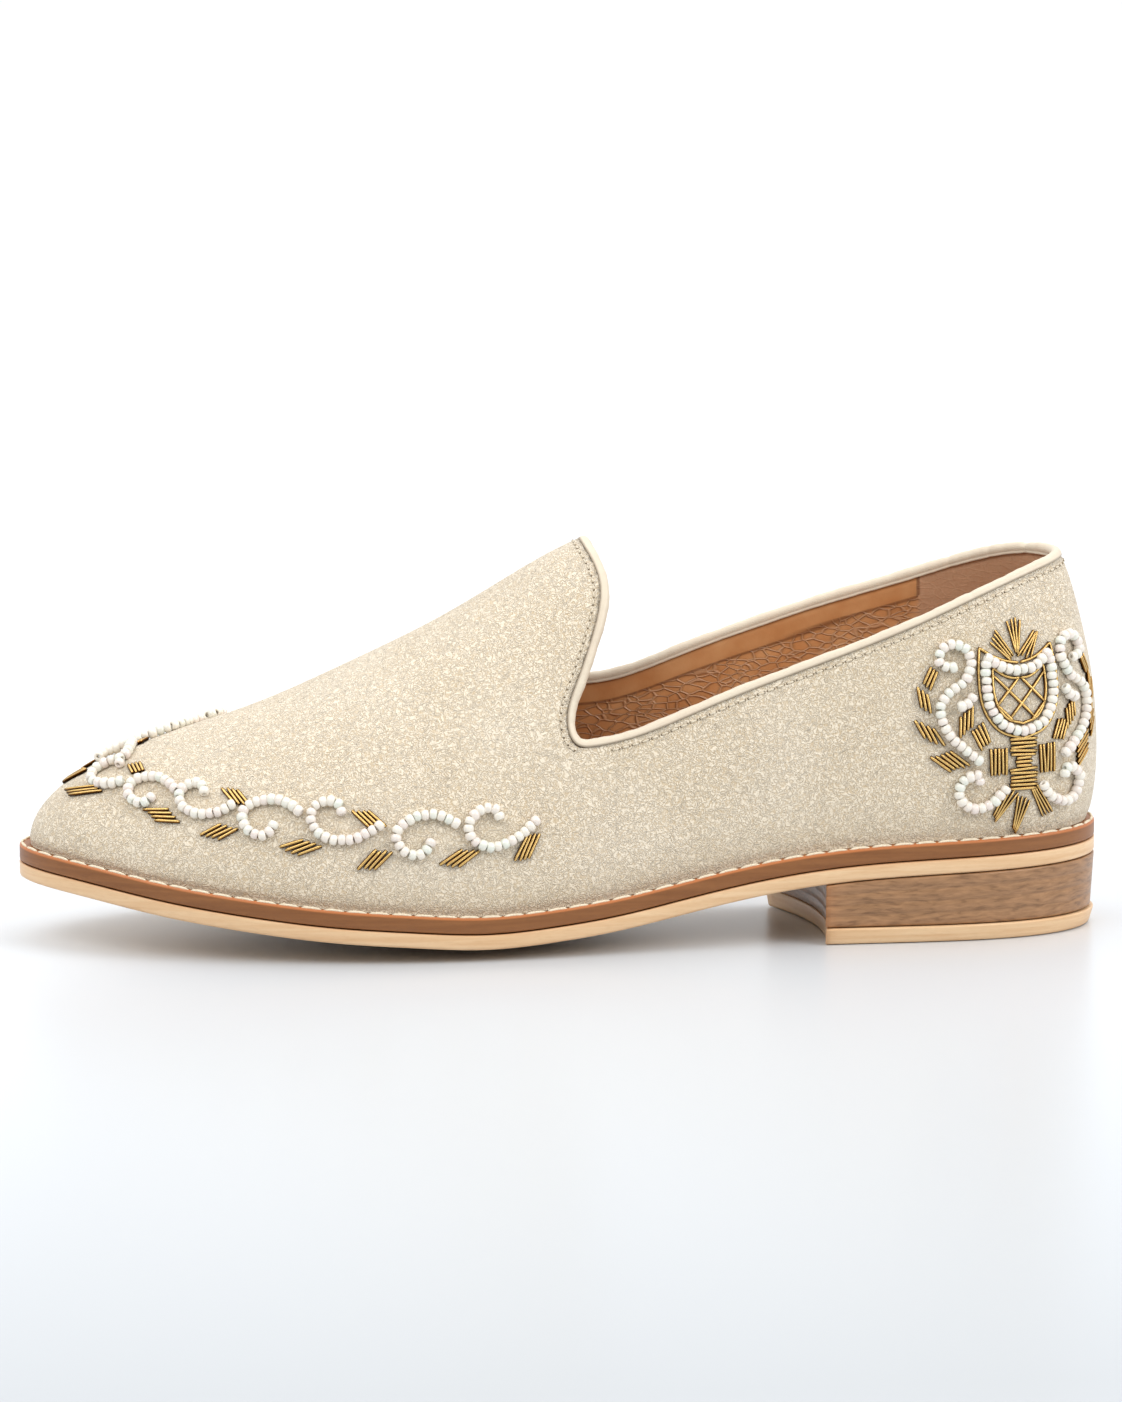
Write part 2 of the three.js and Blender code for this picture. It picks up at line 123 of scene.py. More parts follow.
class Spline:
    """A natural cubic spline through one value of each row."""

    def __init__(self, rows: Sequence[NamedTuple], value: Callable[[NamedTuple], float]) -> None:
        """Solves the spline's second derivatives.

        Args:
            rows: Rows whose first field says where they are, in rising order.
            value: Gives the value that the spline passes through at a row.
        """
        self.x = np.array([row.at for row in rows])
        self.y = np.array([value(row) for row in rows])
        count = len(self.x)
        step = np.diff(self.x)
        matrix = np.eye(count)
        turn = np.zeros(count)
        for i in range(1, count - 1):
            matrix[i, i - 1 : i + 2] = step[i - 1] / 6, (step[i - 1] + step[i]) / 3, step[i] / 6
            turn[i] = (self.y[i + 1] - self.y[i]) / step[i] - (self.y[i] - self.y[i - 1]) / step[i - 1]
        self.bend = np.linalg.solve(matrix, turn)

    def __call__(self, at: Array | float) -> Array:
        """Gives the spline's values.

        Args:
            at: Places, which are held to the first and last row.

        Returns:
            One value for each place.
        """
        here = np.clip(at, self.x[0], self.x[-1])
        i = np.clip(np.searchsorted(self.x, here, side="right") - 1, 0, len(self.x) - 2)
        step = self.x[i + 1] - self.x[i]
        a = (self.x[i + 1] - here) / step
        b = 1 - a
        sag = ((a**3 - a) * self.bend[i] + (b**3 - b) * self.bend[i + 1]) * step**2 / 6
        return a * self.y[i] + b * self.y[i + 1] + sag


def solve(rising: Profile, low: Array, high: Array) -> Array:
    """Finds where a rising function crosses zero, for many unknowns at once.

    Args:
        rising: The function, of as many values as there are unknowns.
        low: Lower bounds.
        high: Upper bounds.

    Returns:
        The roots.
    """
    low, high = np.array(low, float), np.array(high, float)
    halvings = 40
    for _ in range(halvings):
        middle = (low + high) / 2
        under = rising(middle) < 0
        low = np.where(under, middle, low)
        high = np.where(under, high, middle)
    return (low + high) / 2


def smoothstep(value: Array | float, low: float, high: float) -> Array:
    """Returns a soft step from 0 at low to 1 at high."""
    share = np.clip((value - low) / (high - low), 0, 1)
    return share * share * (3 - 2 * share)


def unit(vectors: Array) -> Array:
    """Returns vectors of length 1 along the last axis."""
    return vectors / np.maximum(np.linalg.norm(vectors, axis=-1, keepdims=True), 1e-12)


def resample(path: Array, places: Array) -> Array:
    """Gives points at chosen lengths along an open path.

    Args:
        path: The path's points, one a row.
        places: Lengths from the path's start.

    Returns:
        One point a row.
    """
    run = lengths_along(path)
    return np.stack([np.interp(places, run, axis) for axis in path.T], axis=1)


def lengths_along(path: Array) -> Array:
    """Returns how far along an open path each of its points lies."""
    return np.concatenate([[0], np.cumsum(np.linalg.norm(np.diff(path, axis=0), axis=1))])


def path_length(path: Array) -> float:
    """Returns the length of an open path."""
    return float(np.linalg.norm(np.diff(path, axis=0), axis=1).sum())


def raised(flat: Array, height: Array) -> Array:
    """Returns plan points with a height each."""
    return np.concatenate([flat, height[..., None]], axis=-1)


def bridge(ring: Array, lanes: int) -> Array:
    """Joins a closed ring straight across.

    Args:
        ring: The ring's points in plan, from the toe by way of the lateral side.
        lanes: The number of strips across.

    Returns:
        A grid of points, from the lateral half of the ring to the medial half.
    """
    rung = np.arange(len(ring) // 2 + 1)
    lane = np.linspace(0, 1, lanes + 1)[None, :, None]
    return ring[rung][:, None] * (1 - lane) + ring[-rung][:, None] * lane


def through(points: Points, steps: int = 12) -> Array:
    """Draws a smooth Catmull-Rom curve through a motif's control points.

    Args:
        points: The control points.
        steps: Points for each stretch between two control points.

    Returns:
        The curve's points, one a row.
    """
    control = np.array(points, float)
    ends = np.vstack([2 * control[0] - control[1], control, 2 * control[-1] - control[-2]])
    share = np.linspace(0, 1, steps, endpoint=False)[:, None]
    curve = []
    for i in range(1, len(ends) - 2):
        a, b, c, d = ends[i - 1 : i + 3]
        bend, twist = 2 * a - 5 * b + 4 * c - d, 3 * b - a - 3 * c + d
        curve.append(0.5 * (2 * b + (c - a) * share + bend * share**2 + twist * share**3))
    return np.vstack([*curve, control[-1:]])


@dataclass
class LastForm:
    """The last that the shoe is built on, in millimetres: the sole's plan and rocker, and the walls above it.

    The toe points to -X and the lateral side faces -Y. A loop angle runs round the welt from 0 at the toe tip
    to pi at the back by way of the lateral side, and the medial side has negative angles. A climb runs from
    0 at the welt to 1 on the ridge.
    """

    sole_length: float = 270.0
    widths: dict[str, float] = field(default_factory=lambda: {"ball": 88.0, "waist": 65.0, "seat": 61.0})
    toe_spring: float = 15.9
    heel_rise: float = 18.1
    ball_crown: float = 3.3
    outsole_thickness: float = 3.7
    midsole_thickness: float = 4.1
    ledge_front: float = 2.5
    ledge_heel: float = 1.8
    tongue_height: float = 99.0
    back_height: float = 96.4
    toe_pole_back: float = 38.0
    toe_pole_fade: float = 46.0
    heel_pole_front: float = 27.0
    heel_pole_fade: float = 30.0
    binding_height: float = 1.9
    seam: float = 0.3
    seat_seam: float = 0.45
    plan: tuple[PlanRow, ...] = table(
        PlanRow,
        (0.0, "ball", 0.557, 0.557),
        (0.1, "ball", 0.568, 0.612),
        (0.2, "ball", 0.575, 0.57),
        (0.3, "ball", 0.561, 0.525),
        (0.43, "ball", 0.505, 0.414),
        (0.57, "waist", 0.575, 0.435),
        (0.68, "waist", 0.541, 0.455),
        (0.8, "seat", 0.635, 0.615),
        (0.9, "seat", 0.762, 0.779),
        (1.0, "seat", 0.918, 0.918),
    )
    rocker: tuple[RockerRow, ...] = table(
        RockerRow,
        (0.0, 1, 0, 0),
        (0.05, 0.86, 0, 0.17),
        (0.12, 0.6, 0, 0.4),
        (0.2, 0.36, 0, 0.6),
        (0.28, 0.17, 0, 0.78),
        (0.35, 0.055, 0, 0.92),
        (0.42, -0.022, 0, 1),
        (0.48, 0, 0.055, 0.9),
        (0.54, 0, 0.2, 0.7),
        (0.6, 0, 0.415, 0.47),
        (0.67, 0, 0.665, 0.22),
        (0.75, 0, 0.865, 0),
        (0.87, 0, 0.955, 0),
        (1.0, 0, 1, 0),
    )
    ridge: tuple[RidgeRow, ...] = table(
        RidgeRow,
        (0.1, 0.478, 0.012),
        (0.15, 0.52, 0.02),
        (0.2, 0.562, 0.03),
        (0.25, 0.612, 0.038),
        (0.3, 0.671, 0.043),
        (0.35, 0.736, 0.045),
        (0.4, 0.808, 0.043),
        (0.45, 0.888, 0.038),
        (0.5, 0.966, 0.032),
        (0.54, 1.015, 0.027),
        (0.62, 1.08, 0.018),
        (0.72, 1.13, 0.008),
        (0.82, 1.15, 0),
        (0.92, 1.15, 0),
    )
    walls: tuple[WallRow, ...] = table(
        WallRow,
        (0.0, 0.42, 0.0, 0.6),
        (0.1, 0.42, 0.01, 0.54),
        (0.25, 0.45, 0.023, 0.55),
        (0.4, 0.4, 0.034, 0.52),
        (0.5, 0.35, 0.037, 0.48),
        (0.6, 0.34, 0.041, 0.6),
        (0.7, 0.33, 0.046, 0.7),
        (0.85, 0.32, 0.057, 0.75),
        (0.95, 0.28, 0.085, 0.74),
        (1.0, 0.27, 0.092, 0.74),
    )
    topline: tuple[ToplineRow, ...] = table(
        ToplineRow,
        (0.46, 0.546, 0.088),
        (0.52, 0.553, 0.083),
        (0.55, 0.568, 0.075),
        (0.62, 0.637, 0.073),
        (0.69, 0.709, 0.07),
        (0.757, 0.774, 0.064),
        (0.826, 0.847, 0.045),
        (0.894, 0.925, 0.027),
        (0.96, 0.982, 0.011),
        (1.0, 1, 0),
    )
    throat: tuple[ThroatRow, ...] = table(
        ThroatRow,
        (0.0, 0.516, 0),
        (0.08, 0.5045, 0.012),
        (0.16, 0.497, 0.06),
        (0.25, 0.4965, 0.14),
        (0.36, 0.507, 0.235),
        (0.48, 0.52, 0.35),
        (0.6, 0.53, 0.47),
        (0.7, 0.5325, 0.58),
        (0.8, 0.5275, 0.71),
        (0.9, 0.521, 0.86),
        (1.0, 0.519, 1),
    )

    def __post_init__(self) -> None:
        """Makes the splines that the tables stand for."""
        ball = self.widths["ball"]
        self.lateral_fullness = Spline(self.plan, lambda row: row.lateral * self.widths[row.width])
        self.medial_fullness = Spline(self.plan, lambda row: row.medial * self.widths[row.width])
        rises = self.toe_spring, self.heel_rise
        self.rise_of_tread = Spline(self.rocker, lambda row: row.toe * rises[0] + row.heel * rises[1])
        self.crown_of_tread = Spline(self.rocker, lambda row: row.crown * self.ball_crown)
        self.ridge_height = Spline(self.ridge, lambda row: row.height * self.tongue_height)
        self.ridge_lean = Spline(self.ridge, lambda row: row.lean * ball)
        self.wall_rise = Spline(self.walls, lambda row: row.rise)
        self.wall_bulge = Spline(self.walls, lambda row: row.bulge * ball)
        self.wall_reach = Spline(self.walls, lambda row: row.reach)
        self.topline_height = Spline(self.topline, lambda row: row.height * self.back_height)
        self.medial_lift = Spline(self.topline, lambda row: row.lift * self.back_height)
        self.throat_along = Spline(self.throat, lambda row: row.along)
        self.throat_climb = Spline(self.throat, lambda row: row.climb)
        self.midsole_base = self.outsole_thickness + self.seam
        self.welt_top = self.midsole_base + self.midsole_thickness
        self.seat_base = self.welt_top + self.seat_seam

    def share_of(self, x: Array) -> Array:
        """Returns the share of the sole's length at a place along X."""
        return x / self.sole_length + 0.5

    def place_of(self, share: Array) -> Array:
        """Returns the place along X at a share of the sole's length."""
        return (share - 0.5) * self.sole_length

    @staticmethod
    def along_loop(angle: Array) -> Array:
        """Returns the share of the sole's length at a loop angle."""
        return (1 - np.cos(angle)) / 2

    @staticmethod
    def angle_at(share: float) -> float:
        """Returns the lateral loop angle at a share of the sole's length."""
        return math.acos(1 - 2 * share)

    def outline(self, angle: Array) -> Array:
        """Gives the sole's outline in plan.

        Args:
            angle: Loop angles.

        Returns:
            One (x, y) for each angle.
        """
        angle = np.asarray(angle, float)
        share = self.along_loop(angle)
        full = np.where(np.sin(angle) > 0, self.lateral_fullness(share), self.medial_fullness(share))
        return np.stack([self.place_of(share), -np.sin(angle) * full], axis=-1)

    def outwards(self, angle: Array) -> Array:
        """Gives the outline's outward directions in plan.

        Args:
            angle: Loop angles.

        Returns:
            One direction for each angle.
        """
        angle = np.asarray(angle)
        run = self.outline(angle + NUDGE) - self.outline(angle - NUDGE)
        return unit(np.stack([run[..., 1], -run[..., 0]], axis=-1))

    def inset(self, angle: Array, distance: Array | float) -> Array:
        """Returns the outline moved inwards by a distance, in plan."""
        return self.outline(angle) - self.outwards(angle) * np.asarray(distance)[..., None]

    def ledge(self, angle: Array) -> Array:
        """Returns how far the welt stands out beyond the upper."""
        share = smoothstep(self.along_loop(angle), 0.6, 0.92)
        return self.ledge_front + (self.ledge_heel - self.ledge_front) * share

    def tread(self, x: Array, y: Array) -> Array:
        """Gives the height of the sole's underside before the floor flattens it.

        Args:
            x: Places along the sole.
            y: Places across it.

        Returns:
            One height for each pair.
        """
        share = np.clip(self.share_of(x), 1e-4, 1 - 1e-4)
        full = np.where(y < 0, self.lateral_fullness(share), self.medial_fullness(share))
        half_width = 2 * np.sqrt(share * (1 - share)) * full
        across = np.minimum(np.abs(y) / half_width, 1)
        return self.rise_of_tread(share) + self.crown_of_tread(share) * across**2

    def welt(self, angle: Array, inset: Array | float, level: float) -> Array:
        """Returns points on a sole layer's side.

        Args:
            angle: Loop angles.
            inset: How far inside the outline the points lie.
            level: Their height above the tread.

        Returns:
            One (x, y, z) for each angle.
        """
        flat = self.inset(angle, inset)
        return raised(flat, self.tread(flat[..., 0], flat[..., 1]) + level)

    def wall(self, angle: Array, climb: Array) -> Array:
        """Returns points of the last's wall.

        Args:
            angle: Loop angles.
            climb: Climbs from 0 at the welt to 1 on the ridge, of the same shape.

        Returns:
            One (x, y, z) for each pair.
        """
        angle, climb = np.broadcast_arrays(np.asarray(angle, float), np.asarray(climb, float))
        share = self.along_loop(angle)
        foot = self.welt(angle, self.ledge(angle), self.seat_base)
        middle = self.place_of(share)
        ridge_x = (
            middle
            + self.toe_pole_back * np.exp(-(middle - self.place_of(0)) / self.toe_pole_fade)
            - self.heel_pole_front * np.exp(-(self.place_of(1) - middle) / self.heel_pole_fade)
        )
        ridge_share = self.share_of(ridge_x)
        rise = self.ridge_height(ridge_share + NUDGE) - self.ridge_height(ridge_share - NUDGE)
        slope = rise / (2 * NUDGE * self.sole_length)
        ridge = np.stack([ridge_x, self.ridge_lean(ridge_share), self.ridge_height(ridge_share)], axis=-1)
        out = self.outwards(angle)
        lower = foot.copy()
        lower[..., :2] += out * self.wall_bulge(share)[..., None]
        lower[..., 2] += (ridge[..., 2] - foot[..., 2]) * self.wall_rise(share)
        run = (foot - ridge)[..., :2] * self.wall_reach(share)[..., None]
        upper = ridge + raised(run, run[..., 0] * slope)
        climb = climb[..., None]
        rest = 1 - climb
        low_part = rest**3 * foot + 3 * rest**2 * climb * lower
        return low_part + 3 * rest * climb**2 * upper + climb**3 * ridge

    def wall_out(self, angle: Array, climb: Array) -> Array:
        """Gives the wall's outward normals.

        Args:
            angle: Loop angles.
            climb: Climbs, of the same shape.

        Returns:
            One normal for each pair.
        """
        round_it = self.wall(angle + NUDGE, climb) - self.wall(angle - NUDGE, climb)
        high, low = np.minimum(climb + NUDGE, 1), np.maximum(climb - NUDGE, 0)
        up_it = self.wall(angle, high) - self.wall(angle, low)
        return unit(np.cross(round_it, up_it))

    def cut(self, angle: Array, sign: int) -> Array:
        """Returns the climb at which the topline cuts a side's wall.

        Args:
            angle: Loop angles from 0 to pi.
            sign: 1 for the lateral side and -1 for the medial side.

        Returns:
            One climb for each angle.
        """
        angle = np.asarray(angle, float)
        lowest, highest = np.full(angle.shape, 0.1), np.full(angle.shape, 0.95)
        fade = 0.0 if sign > 0 else smoothstep(np.sin(angle), 0, 0.5)

        def over(climb: Array) -> Array:
            """Tells how far the wall's points lie above the topline, less the binding.

            Args:
                climb: One climb for each angle.

            Returns:
                One height for each, in millimetres.
            """
            point = self.wall(sign * angle, climb)
            share = self.share_of(point[..., 0])
            edge = self.topline_height(share) + self.medial_lift(share) * fade
            return point[..., 2] - edge + self.binding_height + self.seam

        return solve(over, lowest, highest)


class WallChart:
    """Flat millimetres laid onto one side of the last's wall, along a guide line.

    A flat point is (u, v): u runs along the guide from its zero towards the back of the shoe, v up the wall.
    """

    overrun = 0.9
    columns = 760
    rows = 161
    reach = 110
    step = 0.5

    def __init__(self, form: LastForm, sign: int, guide: Profile, zero_angle: float) -> None:
        """Measures the wall.

        Args:
            form: The last.
            sign: 1 for the lateral side and -1 for the medial side.
            guide: The guide's distance up the wall at a share of the loop.
            zero_angle: The loop angle at which u is 0.
        """
        self.form = form
        self.sign = sign
        self.angles = np.linspace(-self.overrun, math.pi + self.overrun, self.columns)
        climbs = np.linspace(0, 1, self.rows)
        grid = form.wall(sign * self.angles[:, None], climbs[None, :])
        rise = np.linalg.norm(np.diff(grid, axis=1), axis=-1)
        up = np.concatenate([np.zeros((len(self.angles), 1)), np.cumsum(rise, axis=1)], axis=1)
        levels = np.arange(0, self.reach, self.step)
        self.table = np.stack([np.interp(levels, row, climbs) for row in up])
        self.guide_up = guide(form.along_loop(self.angles))
        line = form.wall(sign * self.angles, self.climb_at(self.angles, self.guide_up))
        run = lengths_along(line)
        self.run = run - np.interp(zero_angle, self.angles, run)

    def climb_at(self, angle: Array, up: Array) -> Array:
        """Looks up climbs in the measured table.

        Args:
            angle: Loop angles.
            up: Distances up the wall, of the same shape.

        Returns:
            One climb for each pair.
        """
        row = np.interp(angle, self.angles, np.arange(len(self.angles)))
        column = np.clip(up / self.step, 0, self.table.shape[1] - 1.001)
        i = np.clip(row.astype(int), 0, len(self.angles) - 2)
        j = column.astype(int)
        a, b = row - i, column - j
        low = self.table[i, j] * (1 - b) + self.table[i, j + 1] * b
        high = self.table[i + 1, j] * (1 - b) + self.table[i + 1, j + 1] * b
        return low * (1 - a) + high * a

    def place(self, flat: Array) -> tuple[Array, Array]:
        """Lays flat points onto the wall.

        Args:
            flat: One (u, v) a row.

        Returns:
            The points and the wall's outward normals there.
        """
        angle = np.interp(flat[:, 0], self.run, self.angles)
        up = np.interp(angle, self.angles, self.guide_up) + flat[:, 1]
        climb = self.climb_at(angle, up)
        angle = self.sign * angle
        return self.form.wall(angle, climb), self.form.wall_out(angle, climb)


class Side(Enum):
    """A side of the shoe, by the sign of its loop angles."""

    LATERAL = 1
    MEDIAL = -1


@dataclass
class Placement:
    """Where the shoe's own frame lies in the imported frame."""

    form: LastForm
    shift: Array = field(init=False)

    def __post_init__(self) -> None:
        """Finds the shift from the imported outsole, whose toe tip and lateral bulge the form gives too."""
        low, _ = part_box("outsole")
        ring = self.form.outline(turns(64))
        corner = ring.min(axis=0)
        self.shift = np.array([low.x / MM - corner[0], low.y / MM - corner[1], 0.0])

    def metres(self, points: Array) -> Array:
        """Returns points of the shoe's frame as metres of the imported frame."""
        return (np.asarray(points, float).reshape(-1, 3) + self.shift) * MM


def turns(count: int) -> Array:
    """Returns angles evenly round a full turn."""
    return np.arange(count) * 2 * math.pi / count


def quads(shape: tuple[int, int], round_rows: bool = False, round_columns: bool = False) -> Array:
    """Gives the quads of a grid of points.

    Args:
        shape: The grid's rows and columns.
        round_rows: Joins the last row to the first.
        round_columns: Joins the last column to the first.

    Returns:
        Four point numbers a quad. It looks along the cross product of the row and column directions.
    """
    rows, columns = shape
    i = np.arange(rows if round_rows else rows - 1)[:, None]
    j = np.arange(columns if round_columns else columns - 1)[None, :]
    i, j = np.broadcast_arrays(i, j)
    below, beside = (i + 1) % rows, (j + 1) % columns
    corners = (i * columns + j, below * columns + j, below * columns + beside, i * columns + beside)
    return np.stack([corner.ravel() for corner in corners], axis=1)


class MeshBuilder:
    """Vertices, faces and named vertex values gathered for one piece, in the shoe's own frame."""

    def __init__(self) -> None:
        """Starts with nothing."""
        self.points: list[Array] = []
        self.faces: list[Array] = []
        self.values: dict[str, list[Array]] = {}
        self.count = 0

    def add(self, points: Array, faces: Array, **values: Array | float) -> None:
        """Adds a patch.

        Args:
            points: The patch's points, one a row.
            faces: Its faces, each a row of point numbers.
            **values: Vertex values by name, one number each or one for all.
        """
        points = np.asarray(points, float).reshape(-1, 3)
        for name in set(values) | set(self.values):
            held = self.values.setdefault(name, [np.zeros(self.count)] if self.count else [])
            given = np.asarray(values.get(name, 0.0), float)
            held.append(np.broadcast_to(given.ravel(), (len(points),)))
        self.faces.append(np.asarray(faces) + self.count)
        self.points.append(points)
        self.count += len(points)

    def grid(
        self, points: Array, round_rows: bool = False, round_columns: bool = False, **values: Array | float
    ) -> None:
        """Adds a grid of quads.

        Args:
            points: Rows by columns by 3.
            round_rows: Joins the last row to the first.
            round_columns: Joins the last column to the first.
            **values: Vertex values by name, rows by columns or one for all.
        """
        self.add(points, quads(points.shape[:2], round_rows, round_columns), **values)

    def build(self, name: str, placement: Placement, merge: float = 0.0) -> bpy.types.Object:
        """Makes the piece.

        Args:
            name: The piece's name.
            placement: Where the shoe's frame lies.
            merge: Points nearer than this many millimetres become one.

        Returns:
            The new object, smooth shaded and linked to the scene.
        """
        points = placement.metres(np.concatenate(self.points))
        faces = [face for patch in self.faces for face in patch.tolist()]
        mesh = bpy.data.meshes.new(name)
        mesh.from_pydata(points.tolist(), [], faces)
        for key, held in self.values.items():
            layer = mesh.attributes.new(key, "FLOAT", "POINT")
            layer.data.foreach_set("value", np.concatenate(held).astype(np.float32))
        if merge:
            weld(mesh, merge * MM)
        mesh.validate()
        mesh.shade_smooth()
        piece = bpy.data.objects.new(name, mesh)
        bpy.context.scene.collection.objects.link(piece)
        return piece


def weld(mesh: bpy.types.Mesh, distance: float) -> None:
    """Merges near points of a mesh, and drops the faces that this closes.

    Args:
        mesh: The mesh.
        distance: Points nearer than this, in metres, become one.
    """
    work = bmesh.new()
    work.from_mesh(mesh)
    bmesh.ops.remove_doubles(work, verts=work.verts, dist=distance)
    work.to_mesh(mesh)
    work.free()


def frames_along(path: Array, up: Array) -> tuple[Array, Array, Array]:
    """Gives a frame at each point of a path.

    Args:
        path: The path's points.
        up: A direction for each point that the frame's second axis leans to.

    Returns:
        The run, the side and the up directions, one a row each.
    """
    run = unit(np.gradient(path, axis=0))
    side = unit(np.cross(up, run))
    return run, side, np.cross(run, side)


def rod(path: Array, up: Array, radius: Array | float, sides: int) -> tuple[Array, Array]:
    """Makes a closed rod along a path.

    Args:
        path: The path's points.
        up: A direction for each point, away from what the rod lies on.
        radius: The rod's radius, one for all points or one each.
        sides: The number of sides.

    Returns:
        The rod's points and its quads, with the ends closed on themselves.
    """
    _, side, over = frames_along(path, up)
    around = turns(sides)[None, :, None]
    radius = np.broadcast_to(np.asarray(radius, float), (len(path),))
    ring = np.cos(around) * side[:, None] + np.sin(around) * over[:, None]
    tube = path[:, None] + ring * radius[:, None, None]
    points = np.concatenate([path[:1, None].repeat(sides, 1), tube, path[-1:, None].repeat(sides, 1)])
    return points.reshape(-1, 3), quads(points.shape[:2], round_columns=True)[:, TURNED]


def rounded(count: int, radius: float, share: float = 0.6) -> Array:
    """Gives the radii of a rod with rounded ends.

    Args:
        count: The number of its points.
        radius: Its radius between the ends.
        share: The ends' radius, as a share of that.

    Returns:
        One radius for each point.
    """
    ends = np.full(count, radius)
    ends[[0, -1]] = radius * share
    return ends


def soften(points: Array, reach: float, step: float = 0.25) -> Array:
    """Rounds the tight corners of a closed line.

    Args:
        points: The line, whose last point isn't its first again.
        reach: How far along the line the rounding spreads, in millimetres.
        step: The spacing that the rounding works with, in millimetres.

    Returns:
        The same points on the rounded line.
    """
    closed = np.vstack([points, points[:1]])
    along = lengths_along(closed)
    count = int(along[-1] / step)
    even = np.arange(count) * along[-1] / count
    line = np.stack([np.interp(even, along, axis) for axis in closed.T], axis=1)
    apart = np.minimum(even, along[-1] - even)
    weight = np.exp(-0.5 * (apart / reach) ** 2)
    spread = np.fft.rfft(weight / weight.sum())[:, None]
    shift = np.fft.irfft(np.fft.rfft(line, axis=0) * spread, count, axis=0) - line
    back = [np.interp(along[:-1], even, axis, period=along[-1]) for axis in shift.T]
    return points + np.stack(back, axis=1)


class Ring(NamedTuple):
    """One ring of a sole layer's side: inset from the outline, height above the tread, and its share of rim
    colour, which on the welt is a painted highlight.
    """

    inset: float
    level: float
    rim: float = 0.0


@dataclass
class SoleUnit:
    """The outsole, the midsole with its welt edge, and the welt's stitches."""

    form: LastForm
    steps: int = 360
    lanes: int = 20
    edge_round: float = 0.6
    stitch_inset: float = 0.66
    stitch_pitch: float = 5.6
    stitch_length: float = 5.0
    stitch_radius: float = 0.34
    stitch_points: int = 7
    stitch_sink: float = 0.15
    stitch_sides: int = 7
    line_steps: int = 2400

    def layer(self, rings: tuple[Ring, ...], on_floor: bool) -> MeshBuilder:
        """Builds a sole layer from the rings of its side.

        Args:
            rings: The rings, from the bottom up.
            on_floor: Whether the floor flattens the layer's underside.

        Returns:
            The layer as one closed surface.
        """
        made = MeshBuilder()
        angle = turns(self.steps)

        def level(flat: Array, ring: Ring) -> Array:
            """Raises plan points to a ring's height above the tread.

            Args:
                flat: The plan points.
                ring: The ring.

            Returns:
                One (x, y, z) for each point.
            """
            tread = self.form.tread(flat[..., 0], flat[..., 1])
            if on_floor and ring.level < self.form.outsole_thickness / 2:
                tread = np.maximum(tread, 0)
            return raised(flat, tread + ring.level)

        side = np.stack([level(self.form.inset(angle, ring.inset), ring) for ring in rings])
        rims = np.broadcast_to(np.array([ring.rim for ring in rings])[:, None], side.shape[:2])
        made.grid(side.transpose(1, 0, 2), round_rows=True, rim=rims.T)
        for ring, turned in ((rings[-1], False), (rings[0], True)):
            face = level(bridge(self.form.inset(angle, ring.inset), self.lanes), ring)
            made.grid(face.transpose(1, 0, 2) if turned else face, rim=ring.rim)
        return made

    def outsole(self) -> MeshBuilder:
        """Builds the outsole, flat on the floor at the ball.

        Returns:
            The outsole as one closed surface.
        """
        top = self.form.outsole_thickness
        edge = self.edge_round
        rings = table(
            Ring,
            (edge, 0),
            (edge * 0.3, edge * 0.3, 0.3),
            (0, edge, 0.1),
            (0, top - 0.9, 0.05),
            (-0.05, top - 0.3, 0.15),
            (0.1, top - 0.08, 0.7),
            (0.5, top, 1),
        )
        return self.layer(rings, on_floor=True)

    def midsole(self) -> MeshBuilder:
        """Builds the midsole, whose top edge is bevelled as the welt.

        Returns:
            The midsole as one closed surface.
        """
        low, top = self.form.midsole_base, self.form.welt_top
        # The rim values paint a highlight along the welt's bevelled top edge.
        rings = table(
            Ring,
            (0.5, low),
            (0.08, low + 0.12, 0.2),
            (0, low + 0.5),
            (0, top - 0.85),
            (0.02, top - 0.55, 0.9),
            (0.16, top - 0.2, 1),
            (0.5, top - 0.02, 1),
            (0.9, top, 0.5),
            (1.6, top, 0.2),
        )
        return self.layer(rings, on_floor=False)

    def stitches(self) -> MeshBuilder:
        """Builds the long stitches that lie round the welt's top edge.

        Returns:
            The stitches, each a closed rod.
        """
        made = MeshBuilder()
        angle = np.linspace(0, 2 * math.pi, self.line_steps)
        line = self.form.welt(angle, self.stitch_inset, self.form.welt_top)
        length = path_length(line)
        count = round(length / self.stitch_pitch)
        pitch = length / count
        share = np.linspace(0, 1, self.stitch_points)
        arch = np.sin(share * math.pi) ** 0.5 * self.stitch_radius * 0.9 - self.stitch_sink
        up = np.tile([0, 0, 1.0], (self.stitch_points, 1))
        radii = rounded(self.stitch_points, self.stitch_radius)
        for i in range(count):
            path = resample(line, (i + 0.5) * pitch + (share - 0.5) * self.stitch_length)
            path[:, 2] += arch
            made.add(*rod(path, up, radii, self.stitch_sides))
        return made


